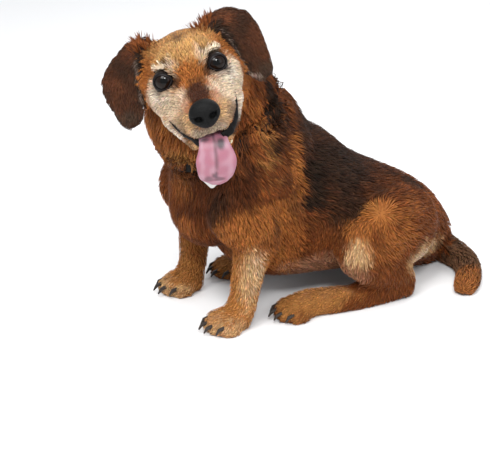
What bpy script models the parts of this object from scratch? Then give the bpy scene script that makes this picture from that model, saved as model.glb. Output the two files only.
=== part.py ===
# A short-legged mongrel dog, life size, sitting with its head turned to its left and cocked over.
# Metres, +Z up. The dog faces -Y, its left side is +X, and its seat, paws and tail rest on z = 0.
#
# The flesh is modelled whole: muscles are lofted along the bones, fused by a voxel remesh, smoothed
# and thinned, then parted with box cutters. Ears, tail, eyes, nose, tongue, teeth, claws and collar
# are lofts and balls of their own, and the flesh is hollowed where they sit.

import math

import bmesh
import bpy
import numpy as np
from mathutils import Matrix, Vector
from mathutils.bvhtree import BVHTree

# ---- making ----
gap = 0.0003  # clearance between two solids that meet
voxel = 0.0024  # size of the remesh that fuses the muscles
flesh_faces = 2700  # triangles left in the whole flesh
ring_points = 20  # points round a lofted section
span_rings = 5  # rings between two stations of a loft

# ---- head pose and size ----
eye_level = Vector((0.0787, -0.0584, 0.3017))  # the head frame's origin, between the eyes
head_turn = math.radians(65.5)  # to its left
head_lift = math.radians(2.4)  # muzzle up
head_roll = math.radians(18.2)  # left side up
eye_radius = 0.0110
eye_at = Vector((0.0262, -0.0008, -0.0018))  # left eyeball, in the head's frame
nose_at = Vector((0.0000, -0.0715, -0.0265))
nose_radii = (0.0148, 0.0095, 0.0135)
jaw_hinge = Vector((0.000, 0.042, -0.032))
jaw_drop = math.radians(11)

# ---- bones: left side, mirrored for the right ----
stance = 0.056  # half the distance between the front legs
elbow = Vector((0.061, 0.038, 0.104))
wrist = Vector((stance, 0.016, 0.036))
shoulder = Vector((0.050, 0.006, 0.142))
blade_top = Vector((0.036, 0.088, 0.196))
hip = Vector((0.044, 0.240, 0.070))
knee = Vector((0.087, 0.132, 0.078))
hock = Vector((0.082, 0.206, 0.027))
hind_toe = Vector((0.068, 0.062, 0.0115))
fore_toe = Vector((stance + 0.001, -0.018, 0.0115))
right_paw_back = 0.006  # the right forepaw stands this much further back
floor_cut = 0.0032  # soft soles, seat and tail are flattened at this height

# ---- collar ----
collar_at = Vector((0.006, 0.028, 0.220))
collar_axis = Vector((0.06, -0.48, 0.875)).normalized()
collar_width = 0.016
collar_thick = 0.0026
collar_depth = 0.0045  # below the tips of the coat
collar_points = 36
tag_side = 0.020
tag_thick = 0.0018
tag_turn = 319  # degrees round the collar
tag_facing = math.radians(60)
tag_swing = math.radians(0)
tag_off = 0.0099  # in front of the strap
tag_drop = 0.0010
ring_radius = 0.0051
ring_wire = 0.0007
ring_lift = 0.0008  # its centre above the tag's top corner
ring_back = 0.0029  # and behind the plate, towards the strap
hole_radius = 0.0018
hole_down = 0.0034

palette = {
    "coat": ((0.33, 0.115, 0.030), 0.75),
    "coat_dark": ((0.055, 0.028, 0.018), 0.75),
    "coat_tan": ((0.46, 0.22, 0.075), 0.75),
    "coat_face": ((0.52, 0.33, 0.20), 0.75),
    "eye": ((0.012, 0.009, 0.008), 0.10),
    "nose_leather": ((0.014, 0.014, 0.015), 0.45),
    "tongue": ((0.62, 0.27, 0.33), 0.40),
    "tooth": ((0.82, 0.76, 0.58), 0.35),
    "claw": ((0.045, 0.035, 0.030), 0.40),
    "strap": ((0.020, 0.020, 0.022), 0.60),
    "steel": ((0.62, 0.62, 0.60), 0.30),
}
metals = ("steel",)


# ---- tools ----
def material(slot):
    """The slot's plain material, made once."""
    made = bpy.data.materials.get(slot)
    if made is None:
        colour, roughness = palette[slot]
        made = bpy.data.materials.new(slot)
        made.use_nodes = True
        shader = made.node_tree.nodes["Principled BSDF"]
        shader.inputs["Base Color"].default_value = (*colour, 1)
        shader.inputs["Roughness"].default_value = roughness
        shader.inputs["Metallic"].default_value = float(slot in metals)
    return made


def add_object(name, mesh, slot=None):
    """A mesh or a bmesh as an object in the scene. Without a slot it is a helper or a cutter."""
    if isinstance(mesh, bmesh.types.BMesh):
        bmesh.ops.recalc_face_normals(mesh, faces=mesh.faces)
        made = bpy.data.meshes.new(name)
        mesh.to_mesh(made)
        mesh.free()
        mesh = made
    obj = bpy.data.objects.new(name, mesh)
    bpy.context.scene.collection.objects.link(obj)
    if slot:
        mesh.materials.clear()
        mesh.materials.append(material(slot))
    else:
        obj.hide_render = True
        obj.display_type = "WIRE"
    return obj


def evaluated_mesh(obj):
    """The object's mesh with its modifiers applied, as a new mesh."""
    bpy.context.view_layer.update()
    graph = bpy.context.evaluated_depsgraph_get()
    return bpy.data.meshes.new_from_object(obj.evaluated_get(graph))


def boolean(obj, operation, cutter):
    cut = obj.modifiers.new(cutter.name, "BOOLEAN")
    cut.operation = operation
    cut.solver = "EXACT"
    cut.object = cutter


def smooth_path(values, per_span):
    """Catmull-Rom through the rows of values, per_span steps in each span."""
    rows = np.array(values, float)
    rows = np.vstack([2 * rows[0] - rows[1], rows, 2 * rows[-1] - rows[-2]])
    t = np.linspace(0, 1, per_span, endpoint=False)[:, None]
    found = []
    for a, b, c, d in zip(rows[:-3], rows[1:-2], rows[2:-1], rows[3:]):
        found.append(0.5 * (2 * b + (c - a) * t + (2 * a - 5 * b + 4 * c - d) * t**2
                            + (3 * b - a - 3 * c + d) * t**3))
    return np.vstack([*found, rows[-2]])


def loft(form, stations, side=(1, 0, 0), place=None, swell=0.0, round_end=0.8,
         per_span=span_rings, points=ring_points, cap_lean=(35, 68)):
    """Adds to form a tube with round ends. A station is (centre, half width, half depth) and may end
    with its own side. The width lies along side, the depth square to side and to the path. swell
    fattens the tube all over."""
    rows = [(*centre, wide, deep, *(own[0] if own else side)) for centre, wide, deep, *own in stations]
    rows = smooth_path(rows, per_span)
    centres, wide, deep, side = rows[:, :3], rows[:, 3] + swell, rows[:, 4] + swell, rows[:, 5:]
    along = np.gradient(centres, axis=0)
    along /= np.linalg.norm(along, axis=1, keepdims=True)
    across = side - along * (along * side).sum(axis=1, keepdims=True)
    across /= np.linalg.norm(across, axis=1, keepdims=True)
    up = np.cross(along, across)
    caps = []
    for end, way in ((0, -1), (-1, 1)):
        reach = min(wide[end], deep[end]) * round_end
        caps.append([(centres[end] + way * along[end] * reach * math.sin(a), wide[end] * math.cos(a),
                      deep[end] * math.cos(a), across[end], up[end]) for a in np.radians(cap_lean)])
        caps.append(centres[end] + way * along[end] * reach)
    first_cap, last_cap = caps[0], caps[2]
    rings = [*first_cap[::-1], *zip(centres, wide, deep, across, up), *last_cap]
    turn = np.linspace(0, 2 * math.pi, points, endpoint=False)
    verts = []
    for centre, w, d, s, u in rings:
        ring = centre + np.outer(np.cos(turn) * w, s) + np.outer(np.sin(turn) * d, u)
        verts.append([form.verts.new(p) for p in ring])
    first, last = form.verts.new(caps[1]), form.verts.new(caps[3])
    for near, far in zip(verts[:-1], verts[1:]):
        for i in range(points):
            j = (i + 1) % points
            form.faces.new((near[i], near[j], far[j], far[i]))
    for i in range(points):
        j = (i + 1) % points
        form.faces.new((first, verts[0][j], verts[0][i]))
        form.faces.new((last, verts[-1][i], verts[-1][j]))
    if place is not None:
        moved = [vert for ring in verts for vert in ring] + [first, last]
        bmesh.ops.transform(form, matrix=place, verts=moved)


def ball(form, centre, radii, place=Matrix.Identity(4), tilt=Matrix.Identity(4), swell=0.0,
         segments=20, rings=12):
    """Adds to form an ellipsoid; tilt turns it about its own centre."""
    size = Matrix.Diagonal((*(r + swell for r in radii), 1))
    bmesh.ops.create_uvsphere(form, u_segments=segments, v_segments=rings, radius=1,
                              matrix=place @ Matrix.Translation(centre) @ tilt @ size)


def block(name, low, high, place=Matrix.Identity(4), grow=0.0, lean=0.0):
    """A box cutter from corner low to corner high, its top shifted by lean along X."""
    form = bmesh.new()
    bmesh.ops.create_cube(form, size=1)
    low, high = Vector(low), Vector(high)
    for vert in form.verts:
        top = vert.co.z > 0
        for axis in range(3):
            edge = high if vert.co[axis] > 0 else low
            vert.co[axis] = edge[axis] + math.copysign(grow, vert.co[axis])
        vert.co.x += lean if top else 0.0
    bmesh.ops.transform(form, matrix=place, verts=form.verts)
    return add_object(name, form)


def on_side(point, side):
    """point as given on the left, side 1, or mirrored to the right, side -1."""
    return Vector((point[0] * side, point[1], point[2]))


def head_place():
    """From the head's own frame, nose along -Y and left along +X, to where the head is."""
    return (Matrix.Translation(eye_level) @ Matrix.Rotation(head_turn, 4, "Z")
            @ Matrix.Rotation(-head_lift, 4, "X") @ Matrix.Rotation(-head_roll, 4, "Y"))


def jaw_place():
    """From the shut lower jaw to the open one."""
    return (head_place() @ Matrix.Translation(jaw_hinge) @ Matrix.Rotation(jaw_drop, 4, "X")
            @ Matrix.Translation(-jaw_hinge))


# ---- flesh ----
def add_trunk(form):
    """Barrel chest, sagging belly and low rump, from front to back, then the withers."""
    loft(form, [
        ((0, 0.004, 0.150), 0.052, 0.050),
        ((0, 0.045, 0.142), 0.066, 0.076),
        ((0, 0.100, 0.116), 0.074, 0.090),
        ((0, 0.155, 0.094), 0.077, 0.074),
        ((0, 0.212, 0.078), 0.074, 0.060),
        ((0, 0.260, 0.055), 0.066, 0.055),
        ((0, 0.290, 0.038), 0.050, 0.042),
    ])
    loft(form, [((0, 0.075, 0.170), 0.046, 0.046), ((0, 0.130, 0.146), 0.042, 0.046)])
    ball(form, (0, 0.004, 0.126), (0.046, 0.042, 0.048))


def add_neck(form):
    """A thick neck with its ruff, from between the shoulders to the back of the skull."""
    loft(form, [
        ((0, 0.060, 0.162), 0.062, 0.078),
        ((0.002, 0.034, 0.205), 0.062, 0.074),
        ((0.010, 0.006, 0.245), 0.058, 0.064),
        ((0.028, -0.022, 0.274), 0.050, 0.052),
    ])
    ball(form, (0.008, -0.022, 0.212), (0.048, 0.038, 0.050))
    ball(form, (-0.006, -0.028, 0.228), (0.042, 0.034, 0.045))


def add_head(form):
    """Skull, forehead, brows, cheeks, muzzle and both pairs of lips, in the head's own frame."""
    place = head_place()
    ball(form, (0, 0.038, -0.004), (0.0435, 0.048, 0.0355), place)
    ball(form, (0, 0.012, 0.007), (0.034, 0.028, 0.023), place)
    for side in (1, -1):
        ball(form, (side * 0.0225, 0.007, 0.0095), (0.0150, 0.012, 0.0115), place)
        ball(form, (side * 0.028, 0.028, -0.020), (0.0225, 0.036, 0.029), place)
        ball(form, (side * 0.0245, 0.003, -0.016), (0.016, 0.021, 0.017), place)
        loft(form, [
            ((side * 0.0315, 0.010, -0.0325), 0.0075, 0.0100),
            ((side * 0.0255, -0.018, -0.0345), 0.0092, 0.0112),
            ((side * 0.0180, -0.044, -0.0380), 0.0098, 0.0118),
            ((side * 0.0105, -0.056, -0.0405), 0.0100, 0.0120),
        ], place=place)
        loft(form, [
            ((side * 0.0350, 0.008, -0.0360), 0.0085, 0.0100),
            ((side * 0.0335, -0.013, -0.0385), 0.0078, 0.0085),
            ((side * 0.0280, -0.027, -0.0475), 0.0066, 0.0072),
            ((side * 0.0195, -0.041, -0.0575), 0.0064, 0.0066),
            ((side * 0.0100, -0.052, -0.0620), 0.0070, 0.0060),
        ], place=place)
    ball(form, (0, -0.0585, -0.0410), (0.0125, 0.0085, 0.0105), place)
    loft(form, [
        ((0, 0.015, -0.0150), 0.0320, 0.0225),
        ((0, -0.015, -0.0210), 0.0260, 0.0200),
        ((0, -0.040, -0.0255), 0.0222, 0.0173),
        ((0, -0.060, -0.0275), 0.0192, 0.0155),
    ], place=place)


def add_jaw(form):
    """The lower jaw, dropped open."""
    loft(form, [
        ((0, 0.038, -0.0490), 0.0340, 0.0210),
        ((0, 0.010, -0.0530), 0.0290, 0.0135),
        ((0, -0.022, -0.0560), 0.0215, 0.0090),
        ((0, -0.044, -0.0570), 0.0165, 0.0072),
    ], place=jaw_place())


def add_foreleg(form, side):
    """Shoulder blade, upper arm, forearm and paw."""
    def at(*point):
        return on_side(point, side)

    loft(form, [(at(*blade_top), 0.024, 0.034), (at(0.050, 0.050, 0.170), 0.028, 0.044),
                (at(*shoulder), 0.028, 0.034)])
    loft(form, [(at(*shoulder), 0.030, 0.036), (at(0.058, 0.022, 0.122), 0.029, 0.036),
                (at(*elbow), 0.021, 0.024)])
    loft(form, [(at(elbow.x, elbow.y - 0.006, elbow.z - 0.004), 0.0215, 0.0270),
                (at(0.059, 0.023, 0.078), 0.0185, 0.0215),
                (at(*wrist), 0.0155, 0.0165),
                (at(stance, 0.012, 0.022), 0.0170, 0.0170)])
    add_paw(form, fore_toe, side, 0.028)


def toe_centres(toe, side):
    """The four toes of a paw, from the inner one out."""
    spread = ((-0.0160, 0.0085), (-0.0056, 0.0), (0.0056, 0.0), (0.0160, 0.0085))
    back = right_paw_back if side < 0 and toe is fore_toe else 0.0
    return [on_side(toe + Vector((x, y + back, 0)), side) for x, y in spread]


def add_paw(form, toe, side, length):
    """Instep and four toes, pointing along -Y."""
    inner, first, second, outer = toe_centres(toe, side)
    middle = (first + second) / 2
    loft(form, [(middle + Vector((0, length, 0.005)), 0.0175, 0.0160),
                (middle + Vector((0, 0.010, 0.003)), 0.0190, 0.0140)])
    for centre in (inner, first, second, outer):
        ball(form, centre, (0.0070, 0.0135, 0.0112))


def add_hindleg(form, side):
    """Folded thigh, shin and long hind foot."""
    def at(*point):
        return on_side(point, side)

    loft(form, [(at(*hip), 0.038, 0.048), (at(0.066, 0.192, 0.078), 0.036, 0.050),
                (at(*knee), 0.022, 0.029)])
    loft(form, [(at(knee.x, knee.y + 0.006, knee.z - 0.006), 0.022, 0.026),
                (at(0.089, 0.166, 0.052), 0.022, 0.027),
                (at(*hock), 0.016, 0.019)])
    loft(form, [(at(hock.x, hock.y + 0.004, hock.z - 0.006), 0.0165, 0.0180),
                (at(0.078, 0.146, 0.015), 0.0155, 0.0150),
                (at(hind_toe.x, hind_toe.y + 0.034, 0.016), 0.0175, 0.0155)])
    add_paw(form, hind_toe, side, 0.032)


def make_flesh():
    """All the muscles fused into one closed skin, smoothed most on the body and least on the head
    and paws, thinned, and flattened where it rests on the floor."""
    form = bmesh.new()
    add_trunk(form)
    add_neck(form)
    add_head(form)
    add_jaw(form)
    for side in (1, -1):
        add_foreleg(form, side)
        add_hindleg(form, side)
    raw = add_object("flesh_raw", form)
    fuse = raw.modifiers.new("fuse", "REMESH")
    fuse.mode = "VOXEL"
    fuse.voxel_size = voxel
    fused = add_object("flesh_fused", evaluated_mesh(raw))
    relax(fused)
    thin = fused.modifiers.new("thin", "DECIMATE")
    thin.ratio = flesh_faces / (2 * len(fused.data.polygons))
    thinned = evaluated_mesh(fused)
    bpy.data.objects.remove(raw)
    bpy.data.objects.remove(fused)
    return flattened(thinned)


def relax(obj):
    """Two Smooth modifiers: a light one all over, and a strong one weighted to the body, which fades
    out towards the head and the paws."""
    spots = np.empty(len(obj.data.vertices) * 3, np.float32)
    obj.data.vertices.foreach_get("co", spots)
    spots = spots.reshape(-1, 3)
    from_eyes = np.linalg.norm(spots - np.array(eye_level), axis=1)
    away = np.clip((from_eyes - 0.085) / 0.05, 0, 1)
    off_floor = np.clip((spots[:, 2] - 0.022) / 0.03, 0, 1)
    behind = np.clip((spots[:, 1] - 0.22) / 0.02, 0, 1)
    weight = away * np.maximum(off_floor, behind)
    body = obj.vertex_groups.new(name="body")
    steps = 10
    for level in range(1, steps + 1):
        chosen = np.nonzero(np.round(weight * steps) == level)[0].tolist()
        body.add(chosen, level / steps, "REPLACE")
    light = obj.modifiers.new("light", "SMOOTH")
    light.factor = 0.5
    light.iterations = 4
    strong = obj.modifiers.new("strong", "SMOOTH")
    strong.factor = 0.5
    strong.iterations = 26
    strong.vertex_group = "body"


def flattened(mesh):
    """The mesh cut flat at the height of the floor."""
    form = bmesh.new()
    form.from_mesh(mesh)
    geometry = [*form.verts, *form.edges, *form.faces]
    cut = bmesh.ops.bisect_plane(form, geom=geometry, dist=1e-6, plane_co=(0, 0, floor_cut),
                                 plane_no=(0, 0, -1), clear_outer=True)
    rim = [edge for edge in cut["geom_cut"] if isinstance(edge, bmesh.types.BMEdge)]
    bmesh.ops.holes_fill(form, edges=rim, sides=0)
    bmesh.ops.triangulate(form, faces=[face for face in form.faces if len(face.verts) > 4])
    bmesh.ops.recalc_face_normals(form, faces=form.faces)
    flat = bpy.data.meshes.new("flat")
    form.to_mesh(flat)
    form.free()
    return flat


# ---- pieces set in the flesh ----
def add_ear(form, side, swell=0.0):
    """A drop ear: out from the side of the crown, over a fold, and down beside the cheek."""
    left = [
        ((0.0280, 0.048, 0.0210), 0.0170, 0.0048, (0.00, 0.85, 0.50)),
        ((0.0440, 0.047, 0.0220), 0.0200, 0.0048, (0.10, 0.80, 0.60)),
        ((0.0595, 0.046, 0.0145), 0.0240, 0.0042, (0.50, 0.74, 0.42)),
        ((0.0635, 0.044, -0.0030), 0.0220, 0.0038, (0.78, 0.62, 0.10)),
        ((0.0655, 0.041, -0.0220), 0.0200, 0.0036, (0.80, 0.60, 0.00)),
        ((0.0690, 0.038, -0.0385), 0.0140, 0.0034, (0.80, 0.60, 0.00)),
    ]
    right = [
        ((-0.0280, 0.048, 0.0210), 0.0170, 0.0048, (0.00, 0.85, 0.50)),
        ((-0.0440, 0.047, 0.0215), 0.0200, 0.0048, (-0.10, 0.80, 0.60)),
        ((-0.0575, 0.046, 0.0120), 0.0235, 0.0042, (-0.52, 0.78, 0.35)),
        ((-0.0680, 0.044, -0.0015), 0.0265, 0.0038, (-0.80, 0.58, 0.14)),
        ((-0.0700, 0.041, -0.0220), 0.0235, 0.0036, (-0.80, 0.60, 0.00)),
        ((-0.0715, 0.038, -0.0405), 0.0145, 0.0034, (-0.80, 0.60, 0.00)),
    ]
    loft(form, left if side > 0 else right, place=head_place(), swell=swell, round_end=1.5,
         per_span=2, points=12, cap_lean=(50,))


def add_tongue(form, swell=0.0):
    """Out over the lower lip between the canines, then down by its own weight."""
    loft(form, [
        ((0.000, -0.016, -0.0485), 0.0125, 0.0034),
        ((0.000, -0.042, -0.0525), 0.0135, 0.0036),
        ((-0.0010, -0.0590, -0.0600), 0.0142, 0.0036),
        ((-0.0045, -0.0630, -0.0755), 0.0192, 0.0034),
        ((-0.0095, -0.0605, -0.0895), 0.0165, 0.0032),
        ((-0.0112, -0.0590, -0.0950), 0.0120, 0.0028),
    ], side=(1, 0, -0.25), place=head_place(), swell=swell, round_end=1.6, per_span=2, points=12,
       cap_lean=(50,))


def add_tooth(form, side, swell=0.0):
    """A lower canine, curving up and out."""
    loft(form, [
        (on_side((0.0140, -0.0400, -0.0560), side), 0.0024, 0.0024),
        (on_side((0.0150, -0.0420, -0.0505), side), 0.0020, 0.0021),
        (on_side((0.0157, -0.0425, -0.0462), side), 0.0009, 0.0010),
    ], place=jaw_place(), swell=swell, per_span=1, points=6, cap_lean=(50,))


def add_claw(form, toe, swell=0.0):
    """A blunt claw, curving down from the front of a toe."""
    loft(form, [
        (toe + Vector((0, -0.0090, 0.0030)), 0.0019, 0.0024),
        (toe + Vector((0, -0.0150, 0.0020)), 0.0017, 0.0021),
        (toe + Vector((0, -0.0185, -0.0025)), 0.0008, 0.0009),
    ], swell=swell, per_span=1, points=6, cap_lean=(50,))


def add_tail(form, swell=0.0):
    """Round the left of the rump, along the floor, to a blunt tip."""
    loft(form, [
        ((0.000, 0.296, 0.034), 0.0210, 0.0190),
        ((0.024, 0.312, 0.0215), 0.0180, 0.0170),
        ((0.058, 0.314, 0.0165), 0.0155, 0.0155),
        ((0.088, 0.298, 0.0155), 0.0150, 0.0150),
        ((0.112, 0.273, 0.0150), 0.0135, 0.0140),
    ], side=(0, 0, 1), swell=swell, round_end=1.0, per_span=2, points=12)


def collar_ring(reach, height):
    """Points all round the collar's axis, at the given reaches and height along it."""
    turn = np.linspace(0, 2 * math.pi, len(reach), endpoint=False)
    left = Vector((0, 1, 0)).cross(collar_axis).normalized()
    back = collar_axis.cross(left)
    turned = np.outer(np.cos(turn) * reach, left) + np.outer(np.sin(turn) * reach, back)
    return np.array(collar_at) + turned + height * np.array(collar_axis)


def collar_reach(flesh):
    """How far the coat stands from the collar's axis, all round, evened out."""
    faces = [face.vertices[:] for face in flesh.polygons]
    tree = BVHTree.FromPolygons([vert.co for vert in flesh.vertices], faces)
    reach = []
    for target in collar_ring(np.ones(collar_points), 0.0):
        way = (Vector(target) - collar_at).normalized()
        edges = (tree.ray_cast(collar_at + collar_axis * h * collar_width, way)[3] for h in (-0.5, 0, 0.5))
        reach.append(min(edges))
    reach = np.array(reach)
    for _ in range(3):
        reach = (np.roll(reach, 1) + 2 * reach + np.roll(reach, -1)) / 4
    return reach


def hoop(name, inner, outer, half_width, slot=None):
    """A closed band round the collar's axis, between two lists of reaches."""
    form = bmesh.new()
    corners = ((inner, -1), (outer, -1), (outer, 1), (inner, 1))
    rings = [[form.verts.new(p) for p in collar_ring(reach, way * half_width)] for reach, way in corners]
    for here, there in zip(rings, rings[1:] + rings[:1]):
        for i in range(len(inner)):
            j = (i + 1) % len(inner)
            form.faces.new((here[i], here[j], there[j], there[i]))
    return add_object(name, form, slot)


def tag_place(reach):
    """The tag's frame: its flat faces turned to the dog's left front, its holed corner at the top,
    in front of the strap."""
    i = int(tag_turn / 360 * len(reach)) % len(reach)
    out = Vector((math.sin(tag_facing), -math.cos(tag_facing), 0))
    hung = Vector(collar_ring(reach, 0.0)[i]) + out * tag_off + Vector((0, 0, -tag_drop))
    return (Matrix.Translation(hung)
            @ Matrix.Rotation(tag_facing, 4, "Z") @ Matrix.Rotation(tag_swing, 4, "Y"))


def add_tag(form, swell=0.0):
    """A plate with rounded corners, standing on one corner, its top corner at the origin."""
    half, radius = tag_side / 2 + swell, 0.0030 + swell
    corner = np.radians(np.linspace(0, 90, 5))
    outline = []
    for quarter, (x, z) in enumerate(((1, 1), (-1, 1), (-1, -1), (1, -1))):
        turn = corner + quarter * math.pi / 2
        outline += [(x * (half - radius) + radius * math.cos(a), z * (half - radius) + radius * math.sin(a))
                    for a in turn]
    drop = (tag_side / 2 - 0.0030) * math.sqrt(2) + 0.0030
    lean = Matrix.Translation((0, 0, -drop)) @ Matrix.Rotation(math.radians(45), 4, "Y")
    sides = [[form.verts.new(lean @ Vector((x, way * (tag_thick / 2 + swell), z))) for x, z in outline]
             for way in (-1, 1)]
    form.faces.new(sides[0])
    form.faces.new(sides[1][::-1])
    for i in range(len(outline)):
        j = (i + 1) % len(outline)
        form.faces.new((sides[0][i], sides[1][i], sides[1][j], sides[0][j]))


def add_ring(form, swell=0.0):
    """The split ring: through the hole in the tag's corner, square to the plate."""
    turn = np.linspace(0, 2 * math.pi, 12, endpoint=False)
    small = np.linspace(0, 2 * math.pi, 6, endpoint=False)
    thick = ring_wire + swell
    rings = []
    for a in turn:
        reach = ring_radius + thick * np.cos(small)
        rings.append([form.verts.new((thick * math.sin(b), r * math.cos(a) + ring_back,
                                      r * math.sin(a) + ring_lift)) for b, r in zip(small, reach)])
    for here, there in zip(rings, rings[1:] + rings[:1]):
        for i in range(6):
            j = (i + 1) % 6
            form.faces.new((here[i], here[j], there[j], there[i]))


def piece(name, slot, add, *args, place=None, flat=False, **options):
    """A piece's own solid, and the cutter that hollows out the room for it, a gap larger."""
    made = []
    for label, swell in ((name, 0.0), ("room_" + name, gap)):
        form = bmesh.new()
        add(form, *args, swell=swell, **options)
        if place is not None:
            bmesh.ops.transform(form, matrix=place, verts=form.verts)
        made.append(add_object(label, form, None if swell else slot))
    if flat:
        made[0].data = flattened(made[0].data)
        made[0].data.materials.append(material(slot))
    return made[1]


def flesh_part(name, slot, flesh, inside, outside):
    """The part of the flesh inside one cutter, less all those outside."""
    obj = add_object(name, flesh.copy(), slot)
    if inside:
        boolean(obj, "INTERSECT", inside)
    for cutter in outside:
        boolean(obj, "DIFFERENCE", cutter)


def limb_blocks(label, side):
    """Cutters for one side's legs, each with its grown twin."""
    made = {}
    for name, low, high, lean in (
        ("foreleg", (0.027, -0.062, -0.010), (0.130, 0.080, 0.150), 0.031),
        ("hindfoot", (0.036, 0.040, -0.012), (0.125, 0.128, 0.0330), 0.0),
        ("hindleg", (0.046, 0.094, -0.010), (0.140, 0.330, 0.136), 0.034),
    ):
        if side < 0:
            low, high = (-high[0], low[1], low[2]), (-low[0], high[1], high[2])
        for grow in (0.0, gap):
            label_of = "%s%s_%s" % ("around_" if grow else "within_", name, label)
            made[name, bool(grow)] = block(label_of, low, high, grow=grow, lean=lean * side)
    return made


def main():
    for obj in list(bpy.data.objects):
        bpy.data.objects.remove(obj)
    flesh = make_flesh()
    place = head_place()

    # pieces, and the rooms they take
    in_head = [piece("nose", "nose_leather", ball, nose_at, nose_radii, place, segments=12, rings=8),
               piece("tongue", "tongue", add_tongue)]
    in_paw = {}
    for label, side in (("left", 1), ("right", -1)):
        in_head.append(piece("ear_" + label, "coat_dark", add_ear, side))
        in_head.append(piece("eye_" + label, "eye", ball, on_side(eye_at, side), (eye_radius,) * 3,
                             place, segments=12, rings=8))
        in_head.append(piece("canine_" + label, "tooth", add_tooth, side))
        for name, toe in (("fore", fore_toe), ("hind", hind_toe)):
            in_paw[name, label] = [
                piece("claw_%s_%s_%d" % (name, label, i + 1), "claw", add_claw, centre)
                for i, centre in enumerate(toe_centres(toe, side))]
    tail_room = piece("tail", "coat", add_tail, flat=True)
    reach = collar_reach(flesh) - collar_depth
    hoop("collar", reach - collar_thick, reach, collar_width / 2, "strap")
    groove = hoop("groove", reach - collar_thick - gap, reach + 0.06, collar_width / 2 + gap)
    hung = tag_place(reach)
    tag_room = piece("tag", "steel", add_tag, place=hung)
    ring_room = piece("ring", "steel", add_ring, place=hung)
    boolean(bpy.data.objects["tag"], "DIFFERENCE", hole_cutter(hung))

    # flesh, parted
    face_plane = (place @ Matrix.Translation((0, 0.055, -0.024)) @ Matrix.Rotation(math.radians(-25), 4, "X"))
    neck_plane = Matrix.Translation((0, 0.0285, 0.1955)) @ Matrix.Rotation(math.radians(20), 4, "X")
    halves = {}
    for name, low, high, frame in (("head", (-0.2, -0.3, -0.3), (0.2, 0, 0.3), face_plane),
                                   ("neck", (-0.2, -0.3, 0), (0.2, 0.3, 0.4), neck_plane)):
        halves[name, False] = block("within_" + name, low, high, frame)
        halves[name, True] = block("around_" + name, low, high, frame, grow=gap)
    flesh_part("head", "coat_face", flesh, halves["head", False], in_head)
    flesh_part("neck", "coat", flesh, halves["neck", False],
               [halves["head", True], groove, tag_room, ring_room])
    around = [halves["neck", True], tail_room]
    for label, side in (("left", 1), ("right", -1)):
        blocks = limb_blocks(label, side)
        for own in (False, True):
            boolean(blocks["hindleg", own], "UNION", blocks["hindfoot", own])
        flesh_part("foreleg_" + label, "coat_tan", flesh, blocks["foreleg", False],
                   [blocks["hindleg", True], *in_paw["fore", label]])
        flesh_part("hindleg_" + label, "coat_tan", flesh, blocks["hindleg", False], in_paw["hind", label])
        around += [blocks["foreleg", True], blocks["hindleg", True]]
    flesh_part("trunk", "coat", flesh, None, around)
    settle()


def hole_cutter(hung):
    """A round bar through the tag's top corner."""
    form = bmesh.new()
    bmesh.ops.create_cone(form, cap_ends=True, segments=12, radius1=hole_radius, radius2=hole_radius,
                          depth=0.01, matrix=Matrix.Translation((0, 0, -hole_down))
                          @ Matrix.Rotation(math.radians(90), 4, "X"))
    bmesh.ops.transform(form, matrix=hung, verts=form.verts)
    return add_object("tag_hole", form)


def settle():
    """Moves everything so that the floor is z = 0 and the middle of the whole is over the origin."""
    bpy.context.view_layer.update()
    graph = bpy.context.evaluated_depsgraph_get()
    seen = [obj for obj in bpy.data.objects if not obj.hide_render]
    corners = np.array([corner[:] for obj in seen for corner in obj.evaluated_get(graph).bound_box])
    middle = (corners.min(axis=0) + corners.max(axis=0)) / 2
    shift = Matrix.Translation((-middle[0], -middle[1], -floor_cut))
    for obj in bpy.data.objects:
        obj.data.transform(shift)


main()
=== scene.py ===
import math

import bmesh
import bpy
import numpy as np
from mathutils import Matrix


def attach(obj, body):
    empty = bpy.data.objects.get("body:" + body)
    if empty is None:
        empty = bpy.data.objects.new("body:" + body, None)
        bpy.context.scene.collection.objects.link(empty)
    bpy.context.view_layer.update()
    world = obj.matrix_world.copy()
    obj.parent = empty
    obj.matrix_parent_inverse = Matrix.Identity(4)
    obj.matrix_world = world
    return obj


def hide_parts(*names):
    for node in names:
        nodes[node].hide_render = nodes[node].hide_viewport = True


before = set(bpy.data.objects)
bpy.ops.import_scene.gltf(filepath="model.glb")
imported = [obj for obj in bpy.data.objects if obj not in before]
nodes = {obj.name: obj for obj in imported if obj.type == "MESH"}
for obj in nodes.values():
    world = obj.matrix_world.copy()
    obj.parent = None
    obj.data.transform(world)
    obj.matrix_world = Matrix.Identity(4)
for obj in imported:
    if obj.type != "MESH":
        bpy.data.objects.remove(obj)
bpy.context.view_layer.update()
scene = bpy.context.scene

# In head coordinates x is the dog's left, -y its nose and z its crown, and the origin lies between the eyes.
# Places that aren't in head coordinates are measured from a point this far behind the model's origin.
placeShift = np.array((0.0, 0.00278, 0.0))
head = {"at": (0.05492, -0.17080, 0.29850), "turn": 65.5, "lift": 2.4, "roll": 18.2}
headAt = np.array(head["at"]) + placeShift
headTurn = np.array((
    Matrix.Rotation(math.radians(head["turn"]), 3, "Z")
    @ Matrix.Rotation(math.radians(-head["lift"]), 3, "X")
    @ Matrix.Rotation(math.radians(-head["roll"]), 3, "Y")
))


# head coordinates to the model's: turned by the head's turn, then moved to its place
def toModel(local):
    return np.asarray(local, float) @ headTurn.T + headAt


# the model's coordinates to the head's: the same turn and move undone
def toHead(points):
    return (np.asarray(points, float) - headAt) @ headTurn


# each vector divided by its length
def unit(vectors):
    return vectors / np.maximum(np.linalg.norm(vectors, axis=-1, keepdims=True), 1e-9)


# 0 below low, 1 above high, and 3t2 - 2t3 between
def ramp(value, low, high):
    t = np.clip((value - low) / (high - low), 0, 1)
    return t * t * (3 - 2 * t)


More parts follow.
